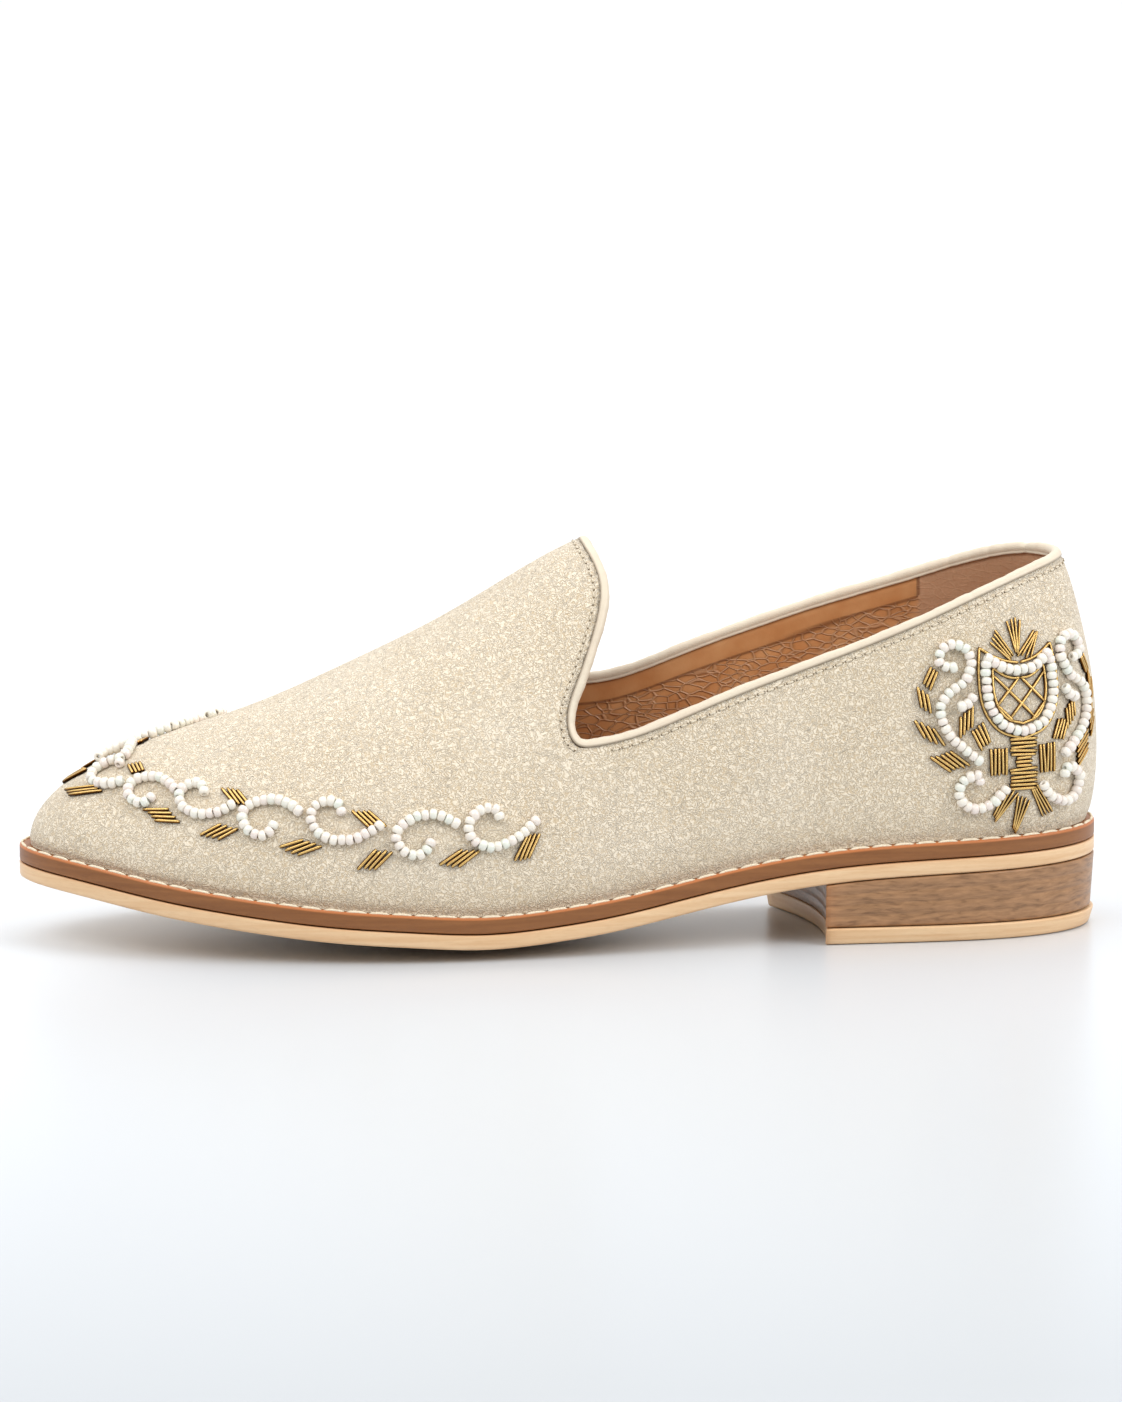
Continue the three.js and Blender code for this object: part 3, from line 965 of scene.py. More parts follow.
@dataclass
class HeelUnit:
    """The stacked heel and its top lift. Rungs run from breast to back, lanes from lateral to medial."""

    form: LastForm
    length: float = 71.8
    lift_thickness: float = 4.0
    taper: float = 1.2
    medial_taper: float = 4.0
    breast_skew: float = 7.6
    breast_hollow: float = 4.3
    rungs: int = 90
    lanes: int = 24
    joints: int = 4
    joint_depth: float = 0.16
    joint_half: float = 0.02
    corner: float = 0.35
    corner_ease: float = 0.1

    def plan(self, share: float, shrink: float) -> Array:
        """Gives the heel's plan.

        Args:
            share: How much of the taper applies, 0 at the sole and 1 at the floor.
            shrink: How far the side is drawn in, in millimetres.

        Returns:
            A grid of rungs by lanes.
        """
        back = np.linspace(0, 1, self.rungs + 1)
        sole = self.form.sole_length
        start = self.form.angle_at(1 - self.length / sole)
        medial_start = self.form.angle_at(1 - (self.length + self.breast_skew) / sole)
        lateral = self.form.inset(start + (math.pi - start) * back, self.taper * share + shrink)
        medial_inset = (self.taper + (self.medial_taper - self.taper) * (1 - back)) * share + shrink
        medial = self.form.inset(-(medial_start + (math.pi - medial_start) * back), medial_inset)
        across = np.linspace(0, 1, self.lanes + 1)[None, :]
        grid = lateral[:, None] * (1 - across[..., None]) + medial[:, None] * across[..., None]
        fade = (1 - back[:, None]) ** 2
        grid[..., 0] += (self.breast_hollow * 4 * across * (1 - across) + shrink) * fade
        grid[-1] = self.form.inset(math.pi, self.taper * share + shrink)
        return grid

    def block(self, levels: Points, bottom: float, top: Profile, rim: float) -> MeshBuilder:
        """Builds a heel piece.

        Args:
            levels: Shares of the height from the bottom up, each with how far the side is drawn in there.
            bottom: The bottom's height above the floor.
            top: Gives the top's height over plan points.
            rim: How much rim colour marks the breast's corner; on the stack it is a painted highlight.

        Returns:
            The piece as one closed surface.
        """
        made = MeshBuilder()
        sheets = []
        for share, shrink in levels:
            height = bottom + share * (self.form.heel_rise - bottom)
            grid = self.plan(1 - min(height / self.form.heel_rise, 1), shrink)
            sheets.append(raised(grid, bottom + share * (top(grid) - bottom)))
        made.grid(sheets[-1], rim=0.0)
        made.grid(sheets[0].transpose(1, 0, 2), rim=0.0)
        stack = np.stack(sheets)
        # The rim colour fades in from the breast's corner: a painted highlight on the stack.
        along = np.exp(-np.arange(self.rungs + 1) / 1.2)[:, None] * rim
        across = np.exp(-np.arange(self.lanes + 1) / 0.5)[:, None] * rim
        for side, edge in (
            (stack[:, :, 0], along),
            (stack[:, ::-1, -1], along[::-1]),
            (stack[:, 0, ::-1], across[::-1]),
        ):
            points = side.transpose(1, 0, 2)
            made.grid(points, rim=np.broadcast_to(edge, points.shape[:2]))
        return made

    def stack(self) -> MeshBuilder:
        """Builds the stack of leather lifts, with a fine groove at each joint.

        Returns:
            The stack as one closed surface.
        """
        levels = [(0.0, self.corner), (0.012, self.corner_ease), (0.03, 0.0)]
        for joint in range(1, self.joints):
            place = joint / self.joints
            low, high = place - self.joint_half, place + self.joint_half
            levels += [(low, 0.0), (place, self.joint_depth), (high, 0.0)]
        levels += [(0.97, 0.0), (0.988, self.corner_ease), (1.0, self.corner)]

        def top(grid: Array) -> Array:
            """Returns the height at which the outsole leaves room for its seam."""
            return self.form.tread(grid[..., 0], grid[..., 1]) - self.form.seam

        return self.block(tuple(levels), self.lift_thickness + self.form.seam, top, 1.0)

    def top_lift(self) -> MeshBuilder:
        """Builds the lift that meets the floor.

        Returns:
            The lift as one closed surface.
        """
        low = ((0.0, self.corner), (0.05, self.corner_ease), (0.14, 0.0))
        high = ((0.88, 0.0), (0.96, self.corner_ease), (1.0, self.corner))

        def top(grid: Array) -> Array:
            """Returns the lift's even height."""
            return np.full(grid.shape[:2], self.lift_thickness)

        return self.block(low + high, 0.0, top, 0.6)


@dataclass
class Footbed:
    """The insole board with its leather sock, dished a little and rolled at its edge."""

    form: LastForm
    clearance: float = 2.8
    thickness: float = 2.4
    edge: float = 0.7
    dish: float = 0.5
    steps: int = 240
    lanes: int = 25

    def sheet(self) -> MeshBuilder:
        """Builds the footbed as a closed body.

        Returns:
            The footbed as one closed surface.
        """
        made = MeshBuilder()
        angle = turns(self.steps)
        gap = self.form.ledge(angle) + self.clearance
        side = [
            self.form.welt(angle, gap + inset, self.form.seat_base + level)
            for inset, level in (
                (self.edge, 0.0),
                (0.0, self.edge),
                (0.0, self.thickness - self.edge),
                (self.edge * 0.3, self.thickness - self.edge * 0.3),
                (self.edge, self.thickness),
            )
        ]
        made.grid(np.stack(side).transpose(1, 0, 2), round_rows=True)
        hollow = self.dish * np.sin(np.linspace(0, 1, self.lanes + 1)[None] * math.pi) ** 2
        for ring, turned in ((side[-1], False), (side[0], True)):
            flat = bridge(ring[:, :2], self.lanes)
            height = self.form.tread(flat[..., 0], flat[..., 1]) + self.form.seat_base
            face = raised(flat, height if turned else height + self.thickness - hollow)
            made.grid(face.transpose(1, 0, 2) if turned else face)
        return made


class Panel(NamedTuple):
    """One panel of the upper: a grid of angles and climbs, and each point's distance below the collar."""

    side: "SideWall"
    angle: Array
    climb: Array
    below: Array
    tongue_from: int | None


class CollarLine(NamedTuple):
    """The upper's top edge all the way round: outside points, normals, and the way up out of the wall."""

    points: Array
    out: Array
    away: Array


class SideWall:
    """One side of the upper: where its topline cuts the wall and its tongue ends, in angles and climbs."""

    def __init__(self, form: LastForm, side: Side) -> None:
        """Finds the bottom of the throat.

        Args:
            form: The last.
            side: Which side of it.
        """
        self.form = form
        self.sign = side.value
        throat_x = form.place_of(form.throat_along(0))

        def past(angle: Array) -> Array:
            """Returns how far behind the throat the topline lies at loop angles."""
            return self.at(angle, form.cut(angle, self.sign))[..., 0] - throat_x

        self.throat_angle = float(solve(past, np.array([0.8]), np.array([2.2]))[0])
        self.throat_cut = float(form.cut(np.array([self.throat_angle]), self.sign)[0])

    def at(self, angle: Array, climb: Array) -> Array:
        """Returns the wall's points."""
        return self.form.wall(self.sign * np.asarray(angle), climb)

    def out(self, angle: Array, climb: Array) -> Array:
        """Returns the wall's outward normals."""
        return self.form.wall_out(self.sign * np.asarray(angle), climb)

    def tongue_edge(self, along: Array) -> tuple[Array, Array]:
        """Gives the tongue's edge.

        Args:
            along: Places from 0 at the bottom of the throat to 1 on the ridge.

        Returns:
            The loop angles and the climbs.
        """
        climb = self.throat_cut + (1 - self.throat_cut) * self.form.throat_climb(along)
        x = self.form.place_of(self.form.throat_along(along))
        bounds = np.full(climb.shape, 0.6), np.full(climb.shape, 2.4)
        angle = solve(lambda a: self.at(a, climb)[..., 0] - x, *bounds)
        return np.where(along <= 0, self.throat_angle, angle), climb

    def vamp(
        self, columns: Array, wall_rows: Array, tongue_rows: Array, toe_cut: float
    ) -> tuple[Array, Array]:
        """Gives the vamp and tongue as a grid of loop angles and climbs.

        Args:
            columns: Shares from 0 at the toe to 1 at the throat.
            wall_rows: Shares from 0 at the welt to 1 at the topline's level.
            tongue_rows: Shares from there to 1 on the ridge.
            toe_cut: The climb of the topline's level at the toe, which both sides share.

        Returns:
            The angles and the climbs, columns by rows.
        """
        edge_angle, edge_climb = self.tongue_edge(tongue_rows)
        edge_angle = np.concatenate([np.full(wall_rows.shape, self.throat_angle), edge_angle])
        edge_climb = np.concatenate([wall_rows * self.throat_cut, edge_climb])
        toe_rise = toe_cut + (1 - toe_cut) * self.form.throat_climb(tongue_rows)
        toe_climb = np.concatenate([wall_rows * toe_cut, toe_rise])
        share = columns[:, None]
        return edge_angle[None] * share, toe_climb[None] * (1 - share) + edge_climb[None] * share

    def quarter(self, columns: Array, rows: Array) -> tuple[Array, Array]:
        """Gives the quarter as a grid of loop angles and climbs.

        Args:
            columns: Shares from 0 at the throat to 1 at the back.
            rows: Shares from 0 at the welt to 1 at the topline.

        Returns:
            The angles and the climbs, columns by rows.
        """
        angle = self.throat_angle + (math.pi - self.throat_angle) * columns
        cut = self.form.cut(angle, self.sign)
        return np.repeat(angle[:, None], len(rows), axis=1), cut[:, None] * rows[None]


def bell(distance: Array, width: float) -> Array:
    """Returns 1 at no distance, falling smoothly to 0 over a few widths."""
    return np.exp(-((distance / width) ** 2))


@dataclass
class UpperUnit:
    """The suede shell, its leather lining, the rolled binding round the collar, and their stitches.

    The binding's section lists points as (outward from the wall's middle in half binding widths, up in
    millimetres), from the outer lip over the top to the inner lip. Creases are (place round the collar,
    depth).
    """

    form: LastForm
    suede: float = 1.2
    wall: float = 2.2
    gap: float = 0.05
    foot_tuck: float = 0.35
    edge_tuck: float = 0.22
    relief_depth: float = 0.09
    crinkle_depth: float = 0.16
    band_height: float = 6.2
    band_step: float = 0.22
    band_edge: float = 0.25
    counter_share: float = 0.845
    counter_edge: float = 0.002
    counter_ridge: float = 0.25
    lining_tuck: float = 0.35
    stitch_drop: float = 1.7
    stitch_sink: float = 0.12
    quarter_pitch: float = 2.6
    quarter_stitch: float = 1.7
    tongue_pitch: float = 2.1
    tongue_stitch: float = 1.2
    stitch_arch: float = 0.16
    thread: float = 0.23
    hole: float = 0.3
    corner_reach: float = 1.7
    binding_half: float = 1.42
    binding_crease: float = 0.15
    binding_lift: float = 0.1
    crease_width: float = 0.8
    creases: Points = ((0.432, 0.8), (0.447, 0.5), (0.556, 1.0), (0.583, 0.9), (0.61, 0.4), (0.2, 0.5))
    section: Points = (
        *((0.76, -0.25), (0.95, -0.16), (1.0, 0.1), (1.0, 0.42), (0.94, 0.85), (0.8, 1.3)),
        *((0.55, 1.68), (0.25, 1.9), (0.0, 1.96), (-0.25, 1.9), (-0.55, 1.68), (-0.8, 1.3)),
        *((-0.94, 0.85), (-0.97, 0.42), (-0.95, 0.2), (-1.06, 0.02), (-1.14, -0.24)),
        *((-1.06, -0.48), (-0.86, -0.5), (-0.74, -0.2), (0.0, 0.12), (0.74, 0.1)),
    )
    vamp_columns: int = 84
    quarter_columns: int = 110
    wall_rows: int = 46
    tongue_rows: int = 64
    collar_quarter: int = 260
    collar_tongue: int = 120

    def __post_init__(self) -> None:
        """Prepares the two sides."""
        self.sides = [SideWall(self.form, side) for side in Side]
        self.toe_cut = sum(side.throat_cut for side in self.sides) / 2

    def panels(self) -> list[Panel]:
        """Gives the upper's four panels."""
        rows = np.linspace(0, 1, self.wall_rows + 1)
        tongue = np.linspace(0, 1, self.tongue_rows + 1)[1:]
        made = []
        for side in self.sides:
            angle, climb = side.vamp(np.linspace(0, 1, self.vamp_columns + 1), rows, tongue, self.toe_cut)
            points = side.at(angle, climb)
            edge = points[-1, None, None, self.wall_rows :: 4]
            below = np.linalg.norm(points[:, :, None] - edge, axis=-1).min(axis=-1)
            made.append(Panel(side, angle, climb, below, self.wall_rows))
            angle, climb = side.quarter(np.linspace(0, 1, self.quarter_columns + 1), rows)
            rise = np.linalg.norm(np.diff(side.at(angle, climb), axis=1), axis=-1)
            below = np.concatenate([np.cumsum(rise[:, ::-1], axis=1)[:, ::-1], 0 * rise[:, :1]], axis=1)
            made.append(Panel(side, angle, climb, below, None))
        return made

    def relief(self, points: Array) -> Array:
        """Gives the soft unevenness of the suede over its last.

        Args:
            points: The shell's points.

        Returns:
            One height for each point, in millimetres.
        """
        x, y, z = points[..., 0], points[..., 1], points[..., 2]
        broad = np.sin(x * 0.11 + 1.3) * np.sin(y * 0.13 + z * 0.09)
        return self.relief_depth * (broad + 0.6 * np.sin(x * 0.23 - z * 0.17 + 0.4))

    def crinkle(self, points: Array, angle: Array) -> Array:
        """Gives the lining's low folds.

        Args:
            points: The lining's points.
            angle: Their loop angles.

        Returns:
            One height for each point, in millimetres.
        """
        x, z = points[..., 0], points[..., 2]
        across = np.sin(x * 0.35 + 1.7 * np.sin(z * 0.31))
        return self.crinkle_depth * across * np.sin(z * 0.62 + 1.4 * np.sin(x * 0.19 + angle))

    def shell(self) -> MeshBuilder:
        """Builds the suede shell: outside, inside and the rims between them.

        Returns:
            The four panels of the shell.
        """
        made = MeshBuilder()
        for panel in self.panels():
            points = panel.side.at(panel.angle, panel.climb)
            out = panel.side.out(panel.angle, panel.climb)
            tuck = self.foot_tuck * bell(panel.climb, 0.02) + self.edge_tuck * bell(panel.below, 0.6)
            tuck = tuck + self.stitch_sink * bell(panel.below - self.stitch_drop, 0.45)
            soft = self.relief(points) * smoothstep(panel.climb, 0, 0.1) * smoothstep(panel.below, 3, 9)
            points[..., 2] -= self.form.seat_seam * bell(panel.climb, 0.008)
            outer = points + out * (soft - tuck)[..., None]
            inner = points - out * self.suede
            # 1 at the welt, fading out up the wall: the suede finish paints shade with it.
            low = 1 - smoothstep(panel.climb, 0, 0.12)
            self.skin(made, panel, outer, inner, low=low)
        return made

    def lining(self) -> MeshBuilder:
        """Builds the lining: its smooth top band, the crinkled leather below it, and the counter's suede.

        Returns:
            The four panels of the lining.
        """
        made = MeshBuilder()
        for panel in self.panels():
            points = panel.side.at(panel.angle, panel.climb)
            out = panel.side.out(panel.angle, panel.climb)
            behind = self.form.share_of(points[..., 0]) - self.counter_share
            shadow = 1 - smoothstep(panel.below, 0.3, 1.3)
            counter = smoothstep(behind, -self.counter_edge, self.counter_edge)
            band = 1 - smoothstep(panel.below - self.band_height, -self.band_edge, self.band_edge)
            band = band * (1 - counter)
            folds = self.crinkle(points, panel.angle) * (1 - band) * smoothstep(panel.climb, 0.02, 0.12)
            ridge = bell(behind * self.form.sole_length, 0.7)
            depth = self.wall + self.band_step * band - self.lining_tuck * shadow
            depth = depth + self.counter_ridge * ridge + folds * (1 - 0.6 * counter)
            inner = points - out * depth[..., None]
            outer = points - out * (self.suede + self.gap)
            self.skin(made, panel, outer, inner, band=band, counter=counter, shadow=shadow)
        return made

    @staticmethod
    def skin(made: MeshBuilder, panel: Panel, outer: Array, inner: Array, **values: Array) -> None:
        """Adds one panel's two faces and its rims along the welt and the collar.

        Args:
            made: Where the panel goes.
            panel: The panel, which says which way its faces turn.
            outer: The outer grid.
            inner: The inner grid.
            **values: Vertex values by name, of the grid's shape.
        """
        lateral = panel.side.sign > 0

        def add(grid: Array, held: dict[str, Array], turned: bool) -> None:
            """Adds a grid with its values, turned over where its faces look the wrong way.

            Args:
                grid: The grid.
                held: Its vertex values by name.
                turned: Whether it is turned over.
            """
            if turned:
                grid = grid.transpose(1, 0, 2)
                held = {name: value.T for name, value in held.items()}
            made.grid(grid, **held)

        def strip(place: tuple[slice | int, slice | int], turned: bool) -> None:
            """Adds the rim between the two grids along one of their edges."""
            held = {name: np.stack([value[place]] * 2, axis=1) for name, value in values.items()}
            add(np.stack([outer[place], inner[place]], axis=1), held, turned)

        add(outer, values, not lateral)
        add(inner, values, lateral)
        strip((slice(None), 0), not lateral)
        if panel.tongue_from is None:
            strip((slice(None), -1), lateral)
        else:
            strip((-1, slice(panel.tongue_from, None)), lateral)

    def collar(self) -> CollarLine:
        """Gives the upper's top edge as a closed line, from the ridge round the back and home again."""
        angles, climbs = [], []
        for side in self.sides:
            along = np.linspace(1, 0, self.collar_tongue, endpoint=False)
            tongue_angle, tongue_climb = side.tongue_edge(along)
            columns = np.linspace(0, 1, self.collar_quarter + 1)
            quarter_angle, quarter_climb = side.quarter(columns, np.array([1.0]))
            angle = np.concatenate([tongue_angle, quarter_angle[:, 0]])
            climb = np.concatenate([tongue_climb, quarter_climb[:, 0]])
            kept = slice(0, -1) if side.sign > 0 else slice(None, 0, -1)
            angles.append(side.sign * angle[kept])
            climbs.append(climb[kept])
        angle, climb = np.concatenate(angles), np.concatenate(climbs)
        out = self.form.wall_out(angle, climb)
        points = soften(self.form.wall(angle, climb), self.corner_reach)
        run = unit(np.roll(points, -1, axis=0) - np.roll(points, 1, axis=0))
        return CollarLine(points, out, unit(np.cross(out, run)))

    def binding(self) -> MeshBuilder:
        """Builds the rolled binding over the collar's edge, with its small creases.

        Returns:
            The binding as one closed ring.
        """
        made = MeshBuilder()
        collar = self.collar()
        middle = collar.points - collar.out * (self.wall / 2)
        run = lengths_along(middle)
        soft = 1 + 0.035 * np.sin(run * 0.31) + 0.025 * np.sin(run * 0.83 + 1) + 0.015 * np.sin(run * 2.1)
        for place, depth in self.creases:
            soft -= self.binding_crease * depth * bell(run - place * run[-1], self.crease_width)
        section = np.array(self.section)
        out, up = section[None, :, :1], section[None, :, 1:]
        out = out * self.binding_half * soft[:, None, None]
        up = up * np.where(up > 0.5, soft[:, None, None], 1) + self.binding_lift
        points = middle[:, None] + collar.out[:, None] * out + collar.away[:, None] * up
        # Painted shade mask: 1 on the lower part of the outer side, where the binding tucks over the suede.
        fold = smoothstep(-section[:, 1:], -0.35, 0.1) * (section[:, :1] > 0) * np.ones(len(middle))
        made.grid(points.transpose(1, 0, 2), round_rows=True, round_columns=True, fold=fold)
        return made

    def stitches(self) -> tuple[MeshBuilder, MeshBuilder]:
        """Builds the stitch row below the binding.

        Returns:
            The threads, and the dark plugs at their ends that paint the shade inside each stitch hole.
        """
        threads, hole_shades = MeshBuilder(), MeshBuilder()
        collar = self.collar()
        target = collar.points - collar.away * self.stitch_drop
        last = len(target) // 2 * 2
        tongue, quarter = (self.tongue_pitch, self.tongue_stitch), (self.quarter_pitch, self.quarter_stitch)
        short, far = self.collar_tongue - 4, self.collar_tongue + 6
        share = np.linspace(0, 1, 5)
        arch = self.stitch_arch * np.sin(share * math.pi)[:, None] - 0.02
        radii = rounded(len(share), self.thread)
        for part, (pitch, length) in (
            (slice(0, short), tongue),
            (slice(far, last - far), quarter),
            (slice(last - short, None), tongue),
        ):
            line, normal = self.settle(target[part])
            for i in range(int(path_length(line) / pitch)):
                places = (i + 0.5) * pitch + (share - 0.5) * length
                path = resample(line, places)
                up = unit(resample(line + normal, places) - path)
                path = path + up * arch
                threads.add(*rod(path, up, radii, 6))
                lean = np.tile(unit(path[-1] - path[0]), (2, 1))
                # Painted shade: a dark plug sunk at each end of a stitch stands for the shade inside its
                # hole.
                for end in (0, -1):
                    pit = np.stack([path[end] - up[end] * 0.25, path[end] + up[end] * 0.03])
                    hole_shades.add(*rod(pit, lean, self.hole, 8))
        return threads, hole_shades

    def settle(self, points: Array) -> tuple[Array, Array]:
        """Moves points near the wall onto it, by Newton steps in loop angle and climb.

        Args:
            points: Points of one row, in order.

        Returns:
            The points on the wall and the normals there.
        """
        form = self.form
        share = form.share_of(points[:, 0])
        sign = np.where(points[:, 1] < form.ridge_lean(share), 1.0, -1.0)
        angle = sign * np.arccos(1 - 2 * np.clip(share, 0.01, 0.99))
        climb = np.full(len(points), 0.6)
        steps, stride, closest = 14, 0.15, 1e-6
        for _ in range(steps):
            here = form.wall(angle, climb)
            by_angle = (form.wall(angle + NUDGE, climb) - here) / NUDGE
            by_climb = (here - form.wall(angle, climb - NUDGE)) / NUDGE
            miss = points - here
            aa, bb, ab = (by_angle**2).sum(-1), (by_climb**2).sum(-1), (by_angle * by_climb).sum(-1)
            am, bm = (by_angle * miss).sum(-1), (by_climb * miss).sum(-1)
            room = np.maximum(aa * bb - ab**2, closest)
            angle = angle + np.clip((bb * am - ab * bm) / room, -stride, stride)
            climb = np.clip(climb + np.clip((aa * bm - ab * am) / room, -stride, stride), 0.01, 0.999)
        return form.wall(angle, climb), form.wall_out(angle, climb)


class ScrollShape(Enum):
    """The two ways that a beaded scroll lies on the vine, each curling back into itself."""

    BOWL = (
        *((0, 1.6), (3.5, -1.0), (7.2, -3.0), (11.4, -3.8), (15.6, -2.5)),
        *((17.6, 0.5), (16.8, 3.7), (13.6, 5.8), (10.7, 5.0), (9.8, 2.6)),
    )
    ARCH = (
        *((0, 1.8), (3.5, 3.7), (7.3, 4.4), (11.2, 3.4), (14.8, 0.6)),
        *((15.4, -2.2), (13.6, -4.8), (10.8, -5.7), (8.2, -4.6), (6.6, -1.6)),
    )


class Scroll(NamedTuple):
    """A scroll of the vine: where it starts along the guide from the toe, its size and its shape."""

    start: float
    size: float
    shape: ScrollShape


class BarGroup(NamedTuple):
    """Gold bugle beads laid side by side.

    The lean is the bars' direction from the guide, in degrees. Each next bar lies one pitch across the
    bars and is staggered along them. The fan turns each next bar by some degrees.
    """

    u: float
    v: float
    count: int
    length: float
    lean: float
    stagger: float = 0.0
    fan: float = 0.0

    def mirrored(self) -> "BarGroup":
        """Returns the group on the other side of the line where u is 0."""
        return self._replace(u=-self.u, lean=180 - self.lean, fan=-self.fan)


@dataclass
class Embroidery:
    """Seed beads and gold bugles sewn to the suede, from charts in flat millimetres."""

    form: LastForm
    bead_radius: float = 1.38
    bead_pitch: float = 1.98
    bead_width: float = 1.98
    bead_hole: float = 0.42
    bead_cheek: float = 0.62
    bead_sides: int = 12
    bead_lift: float = 0.86
    bead_tilt: float = 0.09
    bead_unevenness: float = 0.035
    bar_radius: float = 0.48
    bar_pitch: float = 0.97
    bar_points: int = 7
    bar_sides: int = 10
    bar_turn: float = 2.0
    fan_slimness: float = 0.78
    cord_radius: float = 0.44
    cord_step: float = 0.55
    seed: int = 7

    def __post_init__(self) -> None:
        """Starts the beads, the bars and their colour draws."""
        self.beads = MeshBuilder()
        self.bars = MeshBuilder()
        self.draw = np.random.default_rng(self.seed)
        self.bead_points, self.bead_faces = self.bead()

    def bead(self) -> tuple[Array, Array]:
        """Makes one seed bead: a short barrel with a hole along X.

        Returns:
            Its points and its quads.
        """
        half, cheek, hole = self.bead_width / 2, self.bead_cheek, self.bead_hole
        turn = np.linspace(-0.5, 0.5, 9)[1:-1] * math.pi
        bulge = self.bead_radius - cheek
        barrel = [(half * math.sin(a), cheek + bulge * math.cos(a) ** 0.8) for a in turn]
        bore = [(half, cheek), (half * 0.7, hole), (-half * 0.7, hole)]
        rim = np.array([(-half, cheek), *barrel, *bore])
        angle = turns(self.bead_sides)[None]
        along = np.broadcast_to(rim[:, :1], (len(rim), self.bead_sides))
        points = np.stack([along, rim[:, 1:] * np.cos(angle), rim[:, 1:] * np.sin(angle)], axis=-1)
        return points.reshape(-1, 3), quads(points.shape[:2], True, True)[:, TURNED]

    def string(self, chart: WallChart, curve: Array) -> None:
        """Sews beads along a curve of a chart.

        Args:
            chart: The chart.
            curve: The curve's flat points.
        """
        points, normals = chart.place(curve)
        line = points + normals * self.bead_radius * self.bead_lift
        length = path_length(line)
        count = max(2, round(length / self.bead_pitch))
        places = (np.arange(count) + 0.5) * length / count
        centre = resample(line, places)
        ahead = unit(resample(line, places + 0.3) - resample(line, places - 0.3))
        up = unit(resample(line + normals, places) - centre)
        side = unit(np.cross(up, ahead))
        over = np.cross(ahead, side)
        tilt = self.draw.normal(0, self.bead_tilt, (count, 2))
        ahead = unit(ahead + side * tilt[:, :1] + over * tilt[:, 1:])
        side = unit(np.cross(over, ahead))
        over = np.cross(ahead, side)
        size = 1 + self.draw.normal(0, self.bead_unevenness, count)
        axes = np.stack([ahead, side, over], axis=1) * size[:, None, None]
        centre = centre + over * self.draw.normal(0, 0.05, (count, 1))
        centre = centre + side * self.draw.normal(0, 0.09, (count, 1))
        placed = np.einsum("mk,nkc->nmc", self.bead_points, axes) + centre[:, None]
        faces = self.bead_faces[None] + np.arange(count)[:, None, None] * len(self.bead_points)
        tint = np.repeat(self.draw.random(count), len(self.bead_points))
        self.beads.add(placed.reshape(-1, 3), faces.reshape(-1, 4), tint=tint)

    def sew_rod(self, path: Array, up: Array, radii: Array, places: Array) -> None:
        """Adds a gold rod with the values that its finish reads.

        Args:
            path: The rod's points.
            up: The way out of the suede at each.
            radii: The rod's radius at each.
            places: How far along the rod each lies.
        """
        shape, faces = rod(path, up, radii, self.bar_sides)
        along = np.repeat(np.concatenate([[0], places, places[-1:]]), self.bar_sides)
        # foot is 0 on the crown and 1 underneath; the gold finish paints a highlight and shade with it.
        foot = np.tile(0.5 - 0.5 * np.sin(turns(self.bar_sides)), len(path) + 2)
        self.bars.add(shape, faces, along=along, foot=foot, tint=self.draw.random())

    def bar(self, chart: WallChart, start: Array, end: Array, slimness: float = 1.0) -> None:
        """Sews one gold bar.

        Args:
            chart: The chart.
            start: One end, as a flat point.
            end: The other end.
            slimness: The bar's thickness, as a share of a full bar's.
        """
        radius = self.bar_radius * slimness
        share = np.linspace(0, 1, self.bar_points)
        points, normals = chart.place(start + (end - start) * share[:, None])
        chord = points[:1] + (points[-1] - points[0]) * share[:, None]
        path = points * 0.6 + chord * 0.4 + normals * radius * (0.92 + 0.25 * self.draw.random())
        self.sew_rod(path, normals, rounded(self.bar_points, radius, 0.85), share * path_length(path))

    def cord(self, chart: WallChart, curve: Array) -> None:
        """Couches a gold cord along a curve.

        Args:
            chart: The chart.
            curve: The curve's flat points.
        """
        points, normals = chart.place(curve)
        line = points + normals * self.cord_radius
        places = np.arange(0, path_length(line), self.cord_step)
        path = resample(line, places)
        up = unit(resample(line + normals, places) - path)
        self.sew_rod(path, up, rounded(len(path), self.cord_radius, 0.7), places)

    def group(self, chart: WallChart, bars: BarGroup) -> None:
        """Sews a group of gold bars.

        Args:
            chart: The chart.
            bars: The group.
        """
        slim = self.fan_slimness if bars.fan else 1.0
        for i in range(bars.count):
            place = i - (bars.count - 1) / 2
            lean = math.radians(bars.lean + bars.fan * place + self.draw.normal(0, self.bar_turn))
            along = np.array([math.cos(lean), math.sin(lean)])
            across = np.array([-along[1], along[0]])
            step = across * self.bar_pitch * slim + along * bars.stagger
            middle = np.array([bars.u, bars.v]) + step * place
            reach = along * bars.length / 2 * (1 + self.draw.normal(0, 0.04))
            self.bar(chart, middle - reach, middle + reach, slim)


class GuideRow(NamedTuple):
    """How far up the wall the vine lies on each side, at a share of the loop."""

    at: float
    lateral: float
    medial: float


